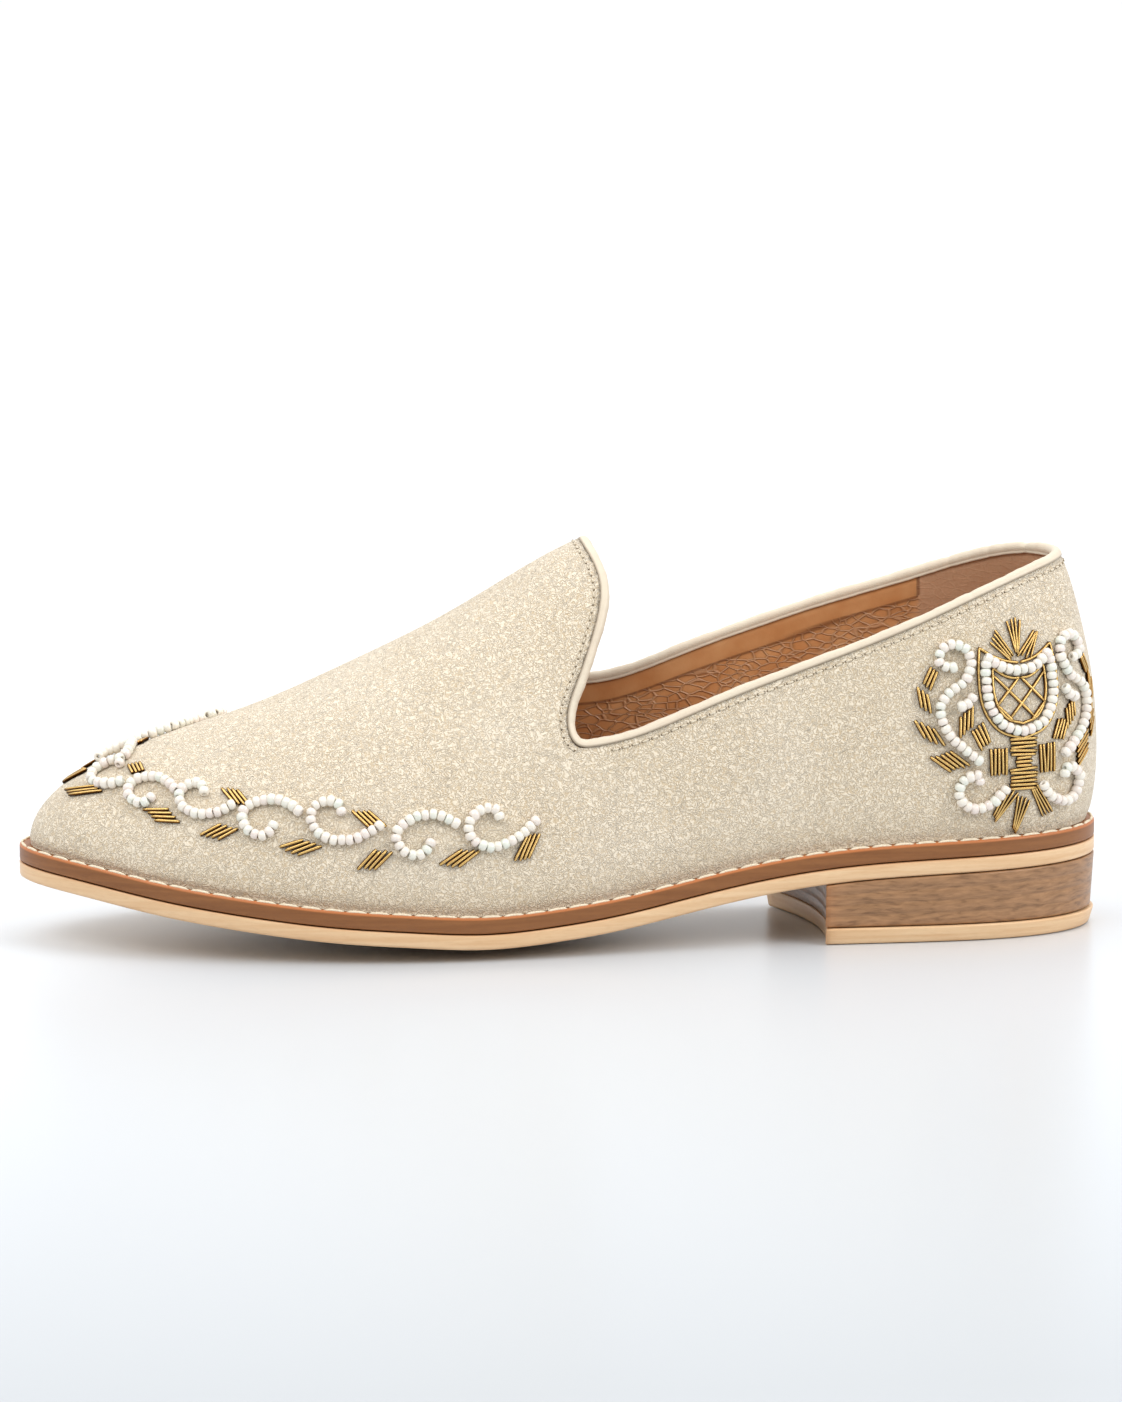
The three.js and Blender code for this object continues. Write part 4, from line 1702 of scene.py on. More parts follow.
@dataclass
class Vine:
    """The beaded vine round the toe, with gold sprigs at its joints.

    Both sides have the shared scrolls. Near the toe, the lateral side has one more scroll, two loops and
    the toe sprigs, and the medial side one plain strand.
    """

    work: Embroidery
    guide: tuple[GuideRow, ...] = table(
        GuideRow,
        (0.0, 24.5, 27.0),
        (0.015, 24.4, 34.5),
        (0.04, 24.0, 40.0),
        (0.09, 22.3, 43.2),
        (0.16, 21.4, 39.0),
        (0.27, 20.6, 30.5),
        (0.36, 20.2, 25.5),
        (0.46, 21.2, 23.4),
        (0.55, 22.0, 22.4),
    )
    scrolls: tuple[Scroll, ...] = table(
        Scroll,
        (124.7, 1.0, ScrollShape.BOWL),
        (104.8, 1.0, ScrollShape.ARCH),
        (85.9, 1.0, ScrollShape.BOWL),
        (65.9, 0.96, ScrollShape.ARCH),
        (48.9, 0.86, ScrollShape.BOWL),
        (32.7, 0.84, ScrollShape.ARCH),
    )
    shared: int = 5
    toe_loops: tuple[Points, ...] = (
        (
            *((17.6, -0.8), (14.6, -2.8), (11.8, -3.8), (9.0, -3.4), (6.6, -0.8)),
            *((6.7, 1.8), (8.2, 4.0), (10.6, 4.9), (12.6, 2.8)),
        ),
        (
            *((-0.6, 3.4), (-4.0, 4.6), (-5.8, 7.6), (-4.6, 10.8), (-1.2, 12.6)),
            *((2.4, 12.2), (6.2, 10.4), (9.4, 8.0), (10.4, 6.2)),
        ),
    )
    medial_run: Points = ((33.6, 1.2), (28.0, -0.4), (22.0, 0.6), (16.0, -0.2), (11.0, 0.4), (7.0, -0.6))
    sprigs: tuple[BarGroup, ...] = table(
        BarGroup,
        (122.0, -5.0, 4, 6.6, 62, -0.5),
        (105.0, -6.2, 4, 6.6, 34, -1.15),
        (84.2, -7.5, 4, 6.6, 48, -0.9),
        (65.9, -6.6, 4, 6.4, 27, -1.2),
        (45.6, -6.4, 4, 6.4, 36, -1.1),
        (30.6, -5.6, 4, 6.2, 14, -0.95),
        (82.6, 2.4, 4, 5.8, 138, 0.95),
        (48.6, 3.5, 4, 5.6, 138, 0.95),
    )
    toe_sprigs: tuple[BarGroup, ...] = table(
        BarGroup,
        (17.4, 4.4, 4, 4.2, 150, 0.5),
        (8.8, -6.8, 3, 7.8, 26, -0.9),
        (-0.4, -3.8, 3, 7.4, 64, -0.5),
        (-5.6, 0.0, 2, 5.6, 80, 0.4),
        (-2.2, 14.4, 3, 6.6, 172, 0.6),
    )

    def sew(self) -> None:
        """Sews the vine on both sides."""
        for side, up in (
            (Side.LATERAL, Spline(self.guide, lambda row: row.lateral)),
            (Side.MEDIAL, Spline(self.guide, lambda row: row.medial)),
        ):
            lateral = side is Side.LATERAL
            chart = WallChart(self.work.form, side.value, up, 0.0)
            for scroll in self.scrolls if lateral else self.scrolls[: self.shared]:
                flat = through(scroll.shape.value) * scroll.size
                self.work.string(chart, np.array([scroll.start, 0]) + flat * [-1, 1])
            for bars in self.sprigs:
                self.work.group(chart, bars)
            for loop in self.toe_loops if lateral else (self.medial_run,):
                self.work.string(chart, through(loop))
            for bars in self.toe_sprigs if lateral else ():
                self.work.group(chart, bars)


@dataclass
class Crest:
    """The shield, stem, scrolls and laurels on the lateral side of the heel, mirrored about their axis."""

    work: Embroidery
    axis_angle: float = 2.565
    middle_up: float = 31.0
    outer: Points = ((-10.2, 16.4), (-10.8, 10.9), (-10.7, 4.2), (-9.0, -1.0), (-5.5, -4.8))
    outer_bottom: float = -6.6
    outer_dip: float = 12.2
    horn_draw: tuple[float, float] = (0.92, -1.45)
    top_sag: float = 0.9
    bead_inset: float = 1.75
    inner_inset: float = 3.6
    lattice_reach: float = 12.0
    lattice_slope: float = 1.05
    lattice_middle: float = 2.6
    lattice_offsets: tuple[float, ...] = (-7.4, -0.6, 6.2)
    curves: tuple[Points, ...] = (
        (
            *((-16.4, 12.0), (-18.6, 12.0), (-20.9, 13.8), (-19.6, 16.6), (-16.4, 17.6)),
            *((-13.4, 15.9), (-12.8, 12.2), (-15.2, 8.0), (-18.8, 5.6), (-20.9, 2.6)),
            *((-20.6, -1.2), (-18.7, -5.0), (-15.0, -8.6), (-11.0, -11.8)),
        ),
        ((-16.6, 2.0), (-14.2, 2.9), (-12.4, 5.0)),
        (
            *((-4.6, -18.2), (-6.6, -20.6), (-9.4, -22.6), (-12.8, -23.4), (-15.8, -21.6)),
            *((-16.8, -18.4), (-14.9, -15.6), (-11.9, -15.0), (-11.4, -17.4)),
        ),
    )
    middle_groups: tuple[BarGroup, ...] = table(
        BarGroup,
        (0, -8.7, 5, 7.0, 0),
        (0, -12.4, 3, 4.2, 0),
        (0, -16.7, 6, 7.2, 0),
        (-0.8, -25.7, 4, 8.6, 76, 0.3, 4),
        (0, 18.9, 4, 8.4, 90, 0.0, 6),
    )
    side_groups: tuple[BarGroup, ...] = table(
        BarGroup,
        (-23.2, 9.6, 3, 4.8, 64, 0.3),
        (-25.0, 4.2, 3, 5.2, 97, 1.0),
        (-24.0, -4.0, 4, 5.4, 120, 1.4),
        (-18.9, -11.2, 5, 6.2, 142, 0.76),
        (-14.6, -1.6, 4, 5.4, 88, -0.9),
        (-10.9, -5.4, 4, 5.4, 114, -0.25),
        (-6.6, -12.0, 5, 7.0, 91, 0.0),
        (-5.1, -22.7, 4, 8.6, 58, 0.2, 4),
        (-4.0, 16.3, 4, 7.4, 128, -0.3, 5),
    )

    def shield(self, inset: float) -> Array:
        """Gives the shield's outline.

        Args:
            inset: How far the outline is drawn in.

        Returns:
            A closed curve from the dip round and back.
        """
        half = through((*self.outer, (0.0, self.outer_bottom)))
        run = unit(np.gradient(half, axis=0))
        half += np.stack([-run[:, 1], run[:, 0]], axis=1) * inset
        horn = np.array(self.outer[0]) + inset * np.array(self.horn_draw)
        half = half[(half[:, 1] < horn[1] - 0.3) & (half[:, 0] < -0.01)]
        share = np.linspace(0, 1, 14)[:, None]
        dip = np.array([0.0, self.outer_dip - inset * 1.05])
        top = dip + (horn - dip) * share
        top[:, 1] -= self.top_sag * np.sin(share[:, 0] * math.pi)
        one = np.vstack([top, half, [[0.0, self.outer_bottom + inset]]])
        return np.vstack([one, (one * [-1, 1])[::-1][1:]])

    def lattice(self) -> list[tuple[Array, Array]]:
        """Gives the crossing lines that fill the shield's middle, each cut off at its outline.

        Returns:
            The two ends of each line.
        """
        ring = self.shield(self.inner_inset)
        share = np.linspace(0, 1, 240)[:, None]
        reach, fewest = self.lattice_reach, 8
        lines = []
        for lean in (1, -1):
            rise = lean * reach * self.lattice_slope
            for offset in self.lattice_offsets:
                middle = offset + self.lattice_middle
                start, end = np.array([-reach, middle - rise]), np.array([reach, middle + rise])
                points = start + (end - start) * share
                kept = np.flatnonzero(inside_ring(points, ring))
                if len(kept) > fewest:
                    lines.append((points[kept[0]], points[kept[-1]]))
        return lines

    def sew(self) -> None:
        """Sews the crest."""
        work = self.work

        def guide(share: Array) -> Array:
            """Returns the even height up the wall that the crest is charted from."""
            return np.full(np.shape(share), self.middle_up)

        chart = WallChart(work.form, Side.LATERAL.value, guide, self.axis_angle)
        work.cord(chart, self.shield(0.0))
        work.cord(chart, self.shield(self.inner_inset))
        beaded = self.shield(self.bead_inset)
        work.string(chart, resample(beaded, np.linspace(0, path_length(beaded), 160)))
        for start, end in self.lattice():
            work.bar(chart, start, end)
        for bars in self.middle_groups:
            work.group(chart, bars)
        for sign in (1, -1):
            for curve in self.curves:
                work.string(chart, through(curve) * [sign, 1])
            for bars in self.side_groups:
                work.group(chart, bars if sign > 0 else bars.mirrored())


def inside_ring(points: Array, ring: Array) -> Array:
    """Says which flat points lie inside a closed ring.

    Args:
        points: The points, one a row.
        ring: The ring's points, the last of them also its first.

    Returns:
        True or false for each point.
    """
    x, y = points[:, 0][:, None], points[:, 1][:, None]
    x0, y0 = ring[:-1, 0][None], ring[:-1, 1][None]
    x1, y1 = ring[1:, 0][None], ring[1:, 1][None]
    spans = (y0 > y) != (y1 > y)
    rise = np.where(np.abs(y1 - y0) < 1e-9, 1e-9, y1 - y0)
    cross = x0 + (y - y0) * (x1 - x0) / rise
    return (spans & (x < cross)).sum(axis=1) % 2 == 1


def linear(code: str) -> tuple[float, float, float, float]:
    """Turns a web colour such as "e4d9c0" into linear red, green, blue and a full alpha."""
    parts = [int(code[i : i + 2], 16) / 255 for i in (0, 2, 4)]
    return (*(c / 12.92 if c <= 0.04045 else ((c + 0.055) / 1.055) ** 2.4 for c in parts), 1.0)


class NodeSketch:
    """A node tree, written as plain calls. Colours are web codes, and lengths are in metres."""

    def __init__(self, tree: bpy.types.NodeTree, place: str = "Object") -> None:
        """Starts with the tree's place coordinates.

        Args:
            tree: The tree.
            place: Which coordinates they are.
        """
        self.tree = tree
        self.place = tree.nodes.new("ShaderNodeTexCoord").outputs[place]

    def plug(self, given: object, socket: Socket) -> None:
        """Gives an input its value.

        Args:
            given: Another node's output, a web colour, or a plain value.
            socket: The input.
        """
        if isinstance(given, Socket):
            self.tree.links.new(given, socket)
        else:
            socket.default_value = linear(given) if isinstance(given, str) else given

    def node(self, kind: str, inputs: dict[str | int, object], **settings: object) -> bpy.types.Node:
        """Adds a node.

        Args:
            kind: The node's type.
            inputs: What goes into its inputs, by name or number.
            **settings: Its own settings.

        Returns:
            The node.
        """
        made = self.tree.nodes.new(kind)
        for key, value in settings.items():
            setattr(made, key, value)
        for key, given in inputs.items():
            self.plug(given, made.inputs[key])
        return made

    def value(self, name: str) -> Socket:
        """Returns a vertex value of the piece."""
        return self.node("ShaderNodeAttribute", {}, attribute_name=name).outputs["Fac"]

    def axis(self, number: int) -> Socket:
        """Returns one of the place coordinates."""
        return self.node("ShaderNodeSeparateXYZ", {0: self.place}).outputs[number]

    def scaled(self, x: float, y: float, z: float) -> Socket:
        """Returns the place coordinates stretched along each axis."""
        return self.node("ShaderNodeMapping", {"Vector": self.place, "Scale": (x, y, z)}).outputs["Vector"]

    def sum_of(self, a: Socket, b: Socket) -> Socket:
        """Returns the sum of two vectors."""
        return self.node("ShaderNodeVectorMath", {0: a, 1: b}, operation="ADD").outputs[0]

    def noise(
        self, scale: float, detail: float = 2.0, distortion: float = 0.0, vector: Socket | None = None
    ) -> Socket:
        """Adds noise.

        Args:
            scale: Its features to the metre.
            detail: Its octaves.
            distortion: How far it is drawn out of shape.
            vector: Its coordinates, where they aren't the plain ones.

        Returns:
            The noise.
        """
        inputs = {"Vector": vector or self.place, "Scale": scale, "Detail": detail, "Distortion": distortion}
        return self.node("ShaderNodeTexNoise", inputs).outputs["Fac"]

    def cells(self, scale: float, vector: Socket | None = None) -> Socket:
        """Adds cells, a number of them to the metre, and returns the distance to their edges."""
        inputs = {"Vector": vector or self.place, "Scale": scale}
        return self.node("ShaderNodeTexVoronoi", inputs, feature="DISTANCE_TO_EDGE").outputs["Distance"]

    def math(
        self, operation: str, a: Socket | float, b: Socket | float = 0.0, c: Socket | float = 0.0
    ) -> Socket:
        """Returns what an operation makes of one, two or three numbers."""
        return self.node("ShaderNodeMath", {0: a, 1: b, 2: c}, operation=operation).outputs[0]

    def times(self, a: Socket, b: Socket | float) -> Socket:
        """Returns the product of two numbers."""
        return self.math("MULTIPLY", a, b)

    def remap(
        self, value: Socket, low: float, high: float, to_low: float = 0.0, to_high: float = 1.0
    ) -> Socket:
        """Moves a value from one range to another.

        Args:
            value: The value.
            low: Where its range starts.
            high: Where its range ends.
            to_low: What it is at the start, and beyond it.
            to_high: What it is at the end, and beyond it.

        Returns:
            The new value.
        """
        inputs = {"Value": value, "From Min": low, "From Max": high, "To Min": to_low, "To Max": to_high}
        return self.node("ShaderNodeMapRange", inputs).outputs["Result"]

    def mix(self, share: Socket | float, a: Socket | str, b: Socket | str) -> Socket:
        """Returns a mix of two colours."""
        return self.node("ShaderNodeMix", {0: share, 6: a, 7: b}, data_type="RGBA").outputs[2]

    def bump(self, height: Socket, depth: float, strength: float, under: Socket | None = None) -> Socket:
        """Roughens the surface.

        Args:
            height: The relief, from 0 to 1.
            depth: The depth that 1 stands for.
            strength: How much of it shows.
            under: A coarser or finer relief under this one.

        Returns:
            The normal.
        """
        inputs = {"Height": height, "Distance": depth, "Strength": strength}
        if under is not None:
            inputs["Normal"] = under
        return self.node("ShaderNodeBump", inputs).outputs["Normal"]


class MaterialSketch(NodeSketch):
    """A material's node tree, and the material."""

    def __init__(self, name: str) -> None:
        """Starts a material.

        Args:
            name: The material's name.
        """
        self.material = bpy.data.materials.new(name)
        self.material.use_nodes = True
        super().__init__(self.material.node_tree)

    def finish(self, **inputs: object) -> bpy.types.Material:
        """Sets the shader's inputs.

        Args:
            **inputs: What goes into each, by its name with spaces written as underscores.

        Returns:
            The material.
        """
        shader = self.tree.nodes["Principled BSDF"]
        for key, given in inputs.items():
            self.plug(given, shader.inputs[key.replace("_", " ")])
        return self.material


@dataclass(frozen=True)
class SuedeFinish:
    """Ivory suede: a short nap with curled strokes, paler where it is brushed, and painted shade towards the
    welt.
    """

    base: str = "efe1c9"
    pale: str = "f8efe0"
    shade: str = "c2ab88"
    welt_shade: str = "bda98a"
    curl_scale: float = 640
    curl_turns: float = 46.0
    fibre_scale: float = 3200
    brush_scale: float = 34
    nap_depth: float = 0.00034

    def material(self) -> bpy.types.Material:
        """Makes the material.

        Returns:
            The material.
        """
        s = MaterialSketch("suede")
        curls = s.math("SINE", s.times(s.noise(self.curl_scale, 2, 0.4), self.curl_turns))
        nap = s.math("MULTIPLY_ADD", curls, 0.5, 0.5)
        mixed = s.math("ADD", s.times(nap, 0.5), s.times(s.noise(self.fibre_scale, 2, 0.6), 0.55))
        tone = s.mix(s.remap(mixed, 0.16, 0.62), self.shade, self.base)
        tone = s.mix(s.remap(mixed, 0.62, 0.92, 0.0, 0.45), tone, self.pale)
        tone = s.mix(s.remap(s.noise(self.brush_scale), 0.4, 0.7, 0.0, 0.18), tone, self.pale)
        # Painted shade: the suede darkens towards the welt, where less light reaches.
        tone = s.mix(s.times(s.value("low"), 0.3), tone, self.welt_shade)
        return s.finish(
            Base_Color=tone,
            Roughness=0.94,
            Normal=s.bump(mixed, self.nap_depth, 1.0),
            Sheen_Weight=0.4,
            Sheen_Roughness=0.5,
            Specular_IOR_Level=0.15,
        )


@dataclass(frozen=True)
class BindingFinish:
    """Smooth cream nappa, with painted shade along its lower outer edge where it tucks over the suede."""

    base: str = "dccfb9"
    tint: str = "d6c1ab"
    # The next colour is the painted shade under the binding's tuck.
    seam: str = "7b6850"
    pore_scale: float = 1500

    def material(self) -> bpy.types.Material:
        """Makes the material.

        Returns:
            The material.
        """
        s = MaterialSketch("binding_leather")
        tone = s.mix(s.remap(s.noise(120, 3), 0.4, 0.75, 0.0, 0.5), self.base, self.tint)
        # Painted shade along the binding's lower outer edge.
        tone = s.mix(s.times(s.value("fold"), 0.8), tone, self.seam)
        pores = s.bump(s.remap(s.cells(self.pore_scale), 0.0, 0.3), 0.00005, 0.5)
        relief = s.bump(s.noise(420, 3), 0.00012, 0.6, pores)
        return s.finish(Base_Color=tone, Roughness=0.4, Normal=relief, Coat_Weight=0.1, Coat_Roughness=0.35)


@dataclass(frozen=True)
class LiningFinish:
    """Tan lining leather: smooth in its top band, crinkled below it with a painted highlight on the ridges
    and painted shade beside them, and suede on the counter.
    """

    base: str = "d0915b"
    light: str = "e3ae7a"
    lit_ridge: str = "e8bd96"
    dark: str = "6a4026"
    counter: str = "c49673"
    nap: str = "d3ac8a"
    cell_scale: float = 560
    cell_warp: float = 0.0035

    def crinkles(self, s: MaterialSketch) -> Socket:
        """Gives the distance to the edges of the leather's warped cells.

        Args:
            s: The material's nodes.

        Returns:
            The distance.
        """
        folds = s.scaled(0.5, 0.5, 1.0)
        shift = s.node("ShaderNodeTexNoise", {"Vector": folds, "Scale": 160.0}).outputs["Color"]
        ends = {0: self.cell_warp, 4: folds, 5: s.sum_of(folds, shift)}
        return s.cells(self.cell_scale, s.node("ShaderNodeMix", ends, data_type="VECTOR").outputs[1])

    def material(self) -> bpy.types.Material:
        """Makes the material.

        Returns:
            The material.
        """
        s = MaterialSketch("lining_leather")
        cells, plain, counter = self.crinkles(s), s.value("band"), s.value("counter")
        loud = s.math("SUBTRACT", 1.0, s.math("MAXIMUM", plain, s.times(counter, 0.85)))
        # Painted highlight on the crinkles' raised ridges; the same mask raises them in the bump.
        lit_ridge = s.times(s.remap(cells, 0.02, 0.1, 1.0, 0.0), loud)
        # Painted shade in a broader band round each ridge.
        ridge_shade = s.times(s.remap(cells, 0.06, 0.24, 1.0, 0.0), loud)
        rib = s.times(s.times(plain, s.math("SUBTRACT", 1.0, plain)), 2.6)
        tone = s.mix(s.remap(s.noise(90, 3), 0.35, 0.7), self.base, self.light)
        tone = s.mix(s.times(ridge_shade, 0.36), tone, self.dark)
        tone = s.mix(s.times(lit_ridge, 0.4), tone, self.lit_ridge)
        tone = s.mix(counter, tone, s.mix(s.noise(1300), self.counter, self.nap))
        tone = s.mix(rib, tone, self.dark)
        tone = s.mix(s.times(s.value("shadow"), 0.85), tone, self.dark)
        relief = s.bump(lit_ridge, 0.0003, 0.7, s.bump(s.noise(1500), 0.00006, 0.5))
        return s.finish(Base_Color=tone, Roughness=s.remap(counter, 0.0, 1.0, 0.4, 0.9), Normal=relief)


@dataclass(frozen=True)
class EdgeLeatherFinish:
    """Cut sole leather whose rim colour is a painted highlight on the welt's top edge and a darker edge tone
    on the sole: its name, its tones and how glossy it is.
    """

    name: str
    base: str
    light: str
    dark: str
    rim: str
    roughness: float
    streak: float

    def material(self) -> bpy.types.Material:
        """Makes the material.

        Returns:
            The material.
        """
        s = MaterialSketch(self.name)
        strata = s.noise(240, 3, 0.4, s.scaled(0.16, 0.16, 3.0))
        fibre = s.noise(1500, vector=s.scaled(0.3, 0.3, 1.4))
        tone = s.mix(s.remap(strata, 0.32, 0.7), self.base, self.light)
        tone = s.mix(s.remap(fibre, 0.5, 0.85, 0.0, self.streak), tone, self.dark)
        # Rim colour: a painted highlight on the welt's top edge, a darker edge tone on the sole.
        tone = s.mix(s.times(s.value("rim"), 0.85), tone, self.rim)
        relief = s.bump(strata, 0.00012, 0.5, s.bump(fibre, 0.00005, 0.5))
        gloss = {"Coat_Weight": 0.15, "Coat_Roughness": 0.3}
        return s.finish(Base_Color=tone, Roughness=self.roughness, Normal=relief, **gloss)


@dataclass(frozen=True)
class StackFinish:
    """Stacked heel leather: layers with dark joints and a wavy grain, and a painted highlight along the
    breast's corner.
    """

    base: str = "8e6845"
    light: str = "aa7f58"
    dark: str = "6d4b30"
    rim: str = "b3784a"
    bottom: float = 0.0043
    joint: float = 0.00345

    def material(self) -> bpy.types.Material:
        """Makes the material.

        Returns:
            The material.
        """
        s = MaterialSketch("stacked_leather")
        height = s.axis(2)
        layer = s.math("FRACT", s.math("DIVIDE", s.math("SUBTRACT", height, self.bottom), self.joint))
        joint = s.remap(s.math("ABSOLUTE", s.math("SUBTRACT", layer, 0.5)), 0.44, 0.5)
        level = s.math("ADD", height, s.times(s.noise(60), 0.003))
        bent = s.node("ShaderNodeCombineXYZ", {2: level}).outputs[0]
        grain = s.noise(1300, 4, 0.3, s.sum_of(s.scaled(0.2, 0.2, 0.0), bent))
        tone = s.mix(s.remap(grain, 0.36, 0.68), self.base, self.light)
        tone = s.mix(s.remap(grain, 0.3, 0.42, 0.45, 0.0), tone, self.dark)
        tone = s.mix(s.times(joint, 0.25), tone, self.dark)
        # Painted highlight along the breast's corner.
        tone = s.mix(s.times(s.value("rim"), 0.7), tone, self.rim)
        gloss = {"Coat_Weight": 0.15, "Coat_Roughness": 0.3}
        return s.finish(Base_Color=tone, Roughness=0.42, Normal=s.bump(grain, 0.0001, 0.5), **gloss)


@dataclass(frozen=True)
class PearlFinish:
    """Pearl-white glass seed beads, each tinted a little."""

    base: str = "f0e9dc"
    rose: str = "ecdfd6"
    sea: str = "e4e8dc"

    def material(self) -> bpy.types.Material:
        """Makes the material.

        Returns:
            The material.
        """
        s = MaterialSketch("pearl_beads")
        tint = s.value("tint")
        tone = s.mix(s.remap(tint, 0.55, 0.95, 0.0, 0.9), self.base, self.rose)
        tone = s.mix(s.remap(tint, 0.4, 0.05, 0.0, 0.9), tone, self.sea)
        tone = s.mix(s.remap(s.noise(500), 0.5, 0.75, 0.0, 0.4), tone, self.rose)
        gloss = {"Coat_Weight": 0.5, "Coat_Roughness": 0.1, "Specular_IOR_Level": 0.6}
        return s.finish(Base_Color=tone, Roughness=0.24, **gloss)


@dataclass(frozen=True)
class GoldFinish:
    """Antique gold bugles and wound cord, darkened at random, with a painted highlight along the crown and
    painted shade down the sides where they meet the suede.
    """

    base: str = "5e3409"
    bright: str = "8c571b"
    crown: str = "fad488"
    patina_and_shade: str = "241304"
    windings: float = 21.0

    def material(self) -> bpy.types.Material:
        """Makes the material.

        Returns:
            The material.
        """
        s = MaterialSketch("gold_bullion")
        wound = s.math("SINE", s.times(s.value("along"), self.windings))
        foot = s.value("foot")
        tone = s.mix(s.remap(s.noise(380, 3), 0.35, 0.7), self.base, self.bright)
        tone = s.mix(s.remap(s.noise(900), 0.58, 0.78, 0.0, 0.5), tone, self.patina_and_shade)
        # Painted highlight along each rod's crown.
        tone = s.mix(s.remap(foot, 0.02, 0.15, 0.8, 0.0), tone, self.crown)
        # Painted shade down each rod's sides, towards the suede.
        tone = s.mix(s.remap(foot, 0.16, 0.42, 0.0, 0.97), tone, self.patina_and_shade)
        return s.finish(Base_Color=tone, Metallic=1.0, Roughness=0.22, Normal=s.bump(wound, 0.00003, 0.5))


@dataclass(frozen=True)
class ThreadFinish:
    """Waxed thread, by name and tone."""

    name: str
    base: str
    roughness: float = 0.7
    ply_tone: str = "c9b391"

    def material(self) -> bpy.types.Material:
        """Makes the material.

        Returns:
            The material.
        """
        s = MaterialSketch(self.name)
        ply = s.noise(2600)
        tone = s.mix(s.remap(ply, 0.35, 0.7, 0.0, 0.5), self.base, self.ply_tone)
        return s.finish(Base_Color=tone, Roughness=self.roughness, Normal=s.bump(ply, 0.00008, 0.6))


@dataclass(frozen=True)
class FootbedFinish:
    """Smooth tan sock leather."""

    base: str = "a9794f"
    light: str = "c2946a"

    def material(self) -> bpy.types.Material:
        """Makes the material.

        Returns:
            The material.
        """
        s = MaterialSketch("footbed_leather")
        tone = s.mix(s.remap(s.noise(70, 3), 0.35, 0.7), self.base, self.light)
        pores = s.remap(s.cells(900), 0.0, 0.25)
        return s.finish(Base_Color=tone, Roughness=0.5, Normal=s.bump(pores, 0.00008, 0.6))


@dataclass(frozen=True)
class FloorFinish:
    """The white studio floor, a little glossy, with painted shade that darkens it towards the camera and
    leaves it brighter behind the shoe, and tinted cool so that its shadows come out cool.
    """

    near: str = "b2b7bc"
    far: str = "f1f5fa"
    near_y: float = -0.5
    far_y: float = 0.4

    def material(self) -> bpy.types.Material:
        """Makes the material.

        Returns:
            The material.
        """
        s = MaterialSketch("studio_floor")
        # Painted shade: the floor darkens towards the camera.
        tone = s.mix(s.remap(s.axis(1), self.near_y, self.far_y), self.near, self.far)
        return s.finish(Base_Color=tone, Roughness=0.28, Specular_IOR_Level=0.35)


class Lamp(NamedTuple):
    """A soft light that looks at the shoe: its place and size in metres, its power and its tint."""

    name: str
    place: tuple[float, float, float]
    size: tuple[float, float]
    watts: float
    tint: Colour = (1.0, 1.0, 1.0)


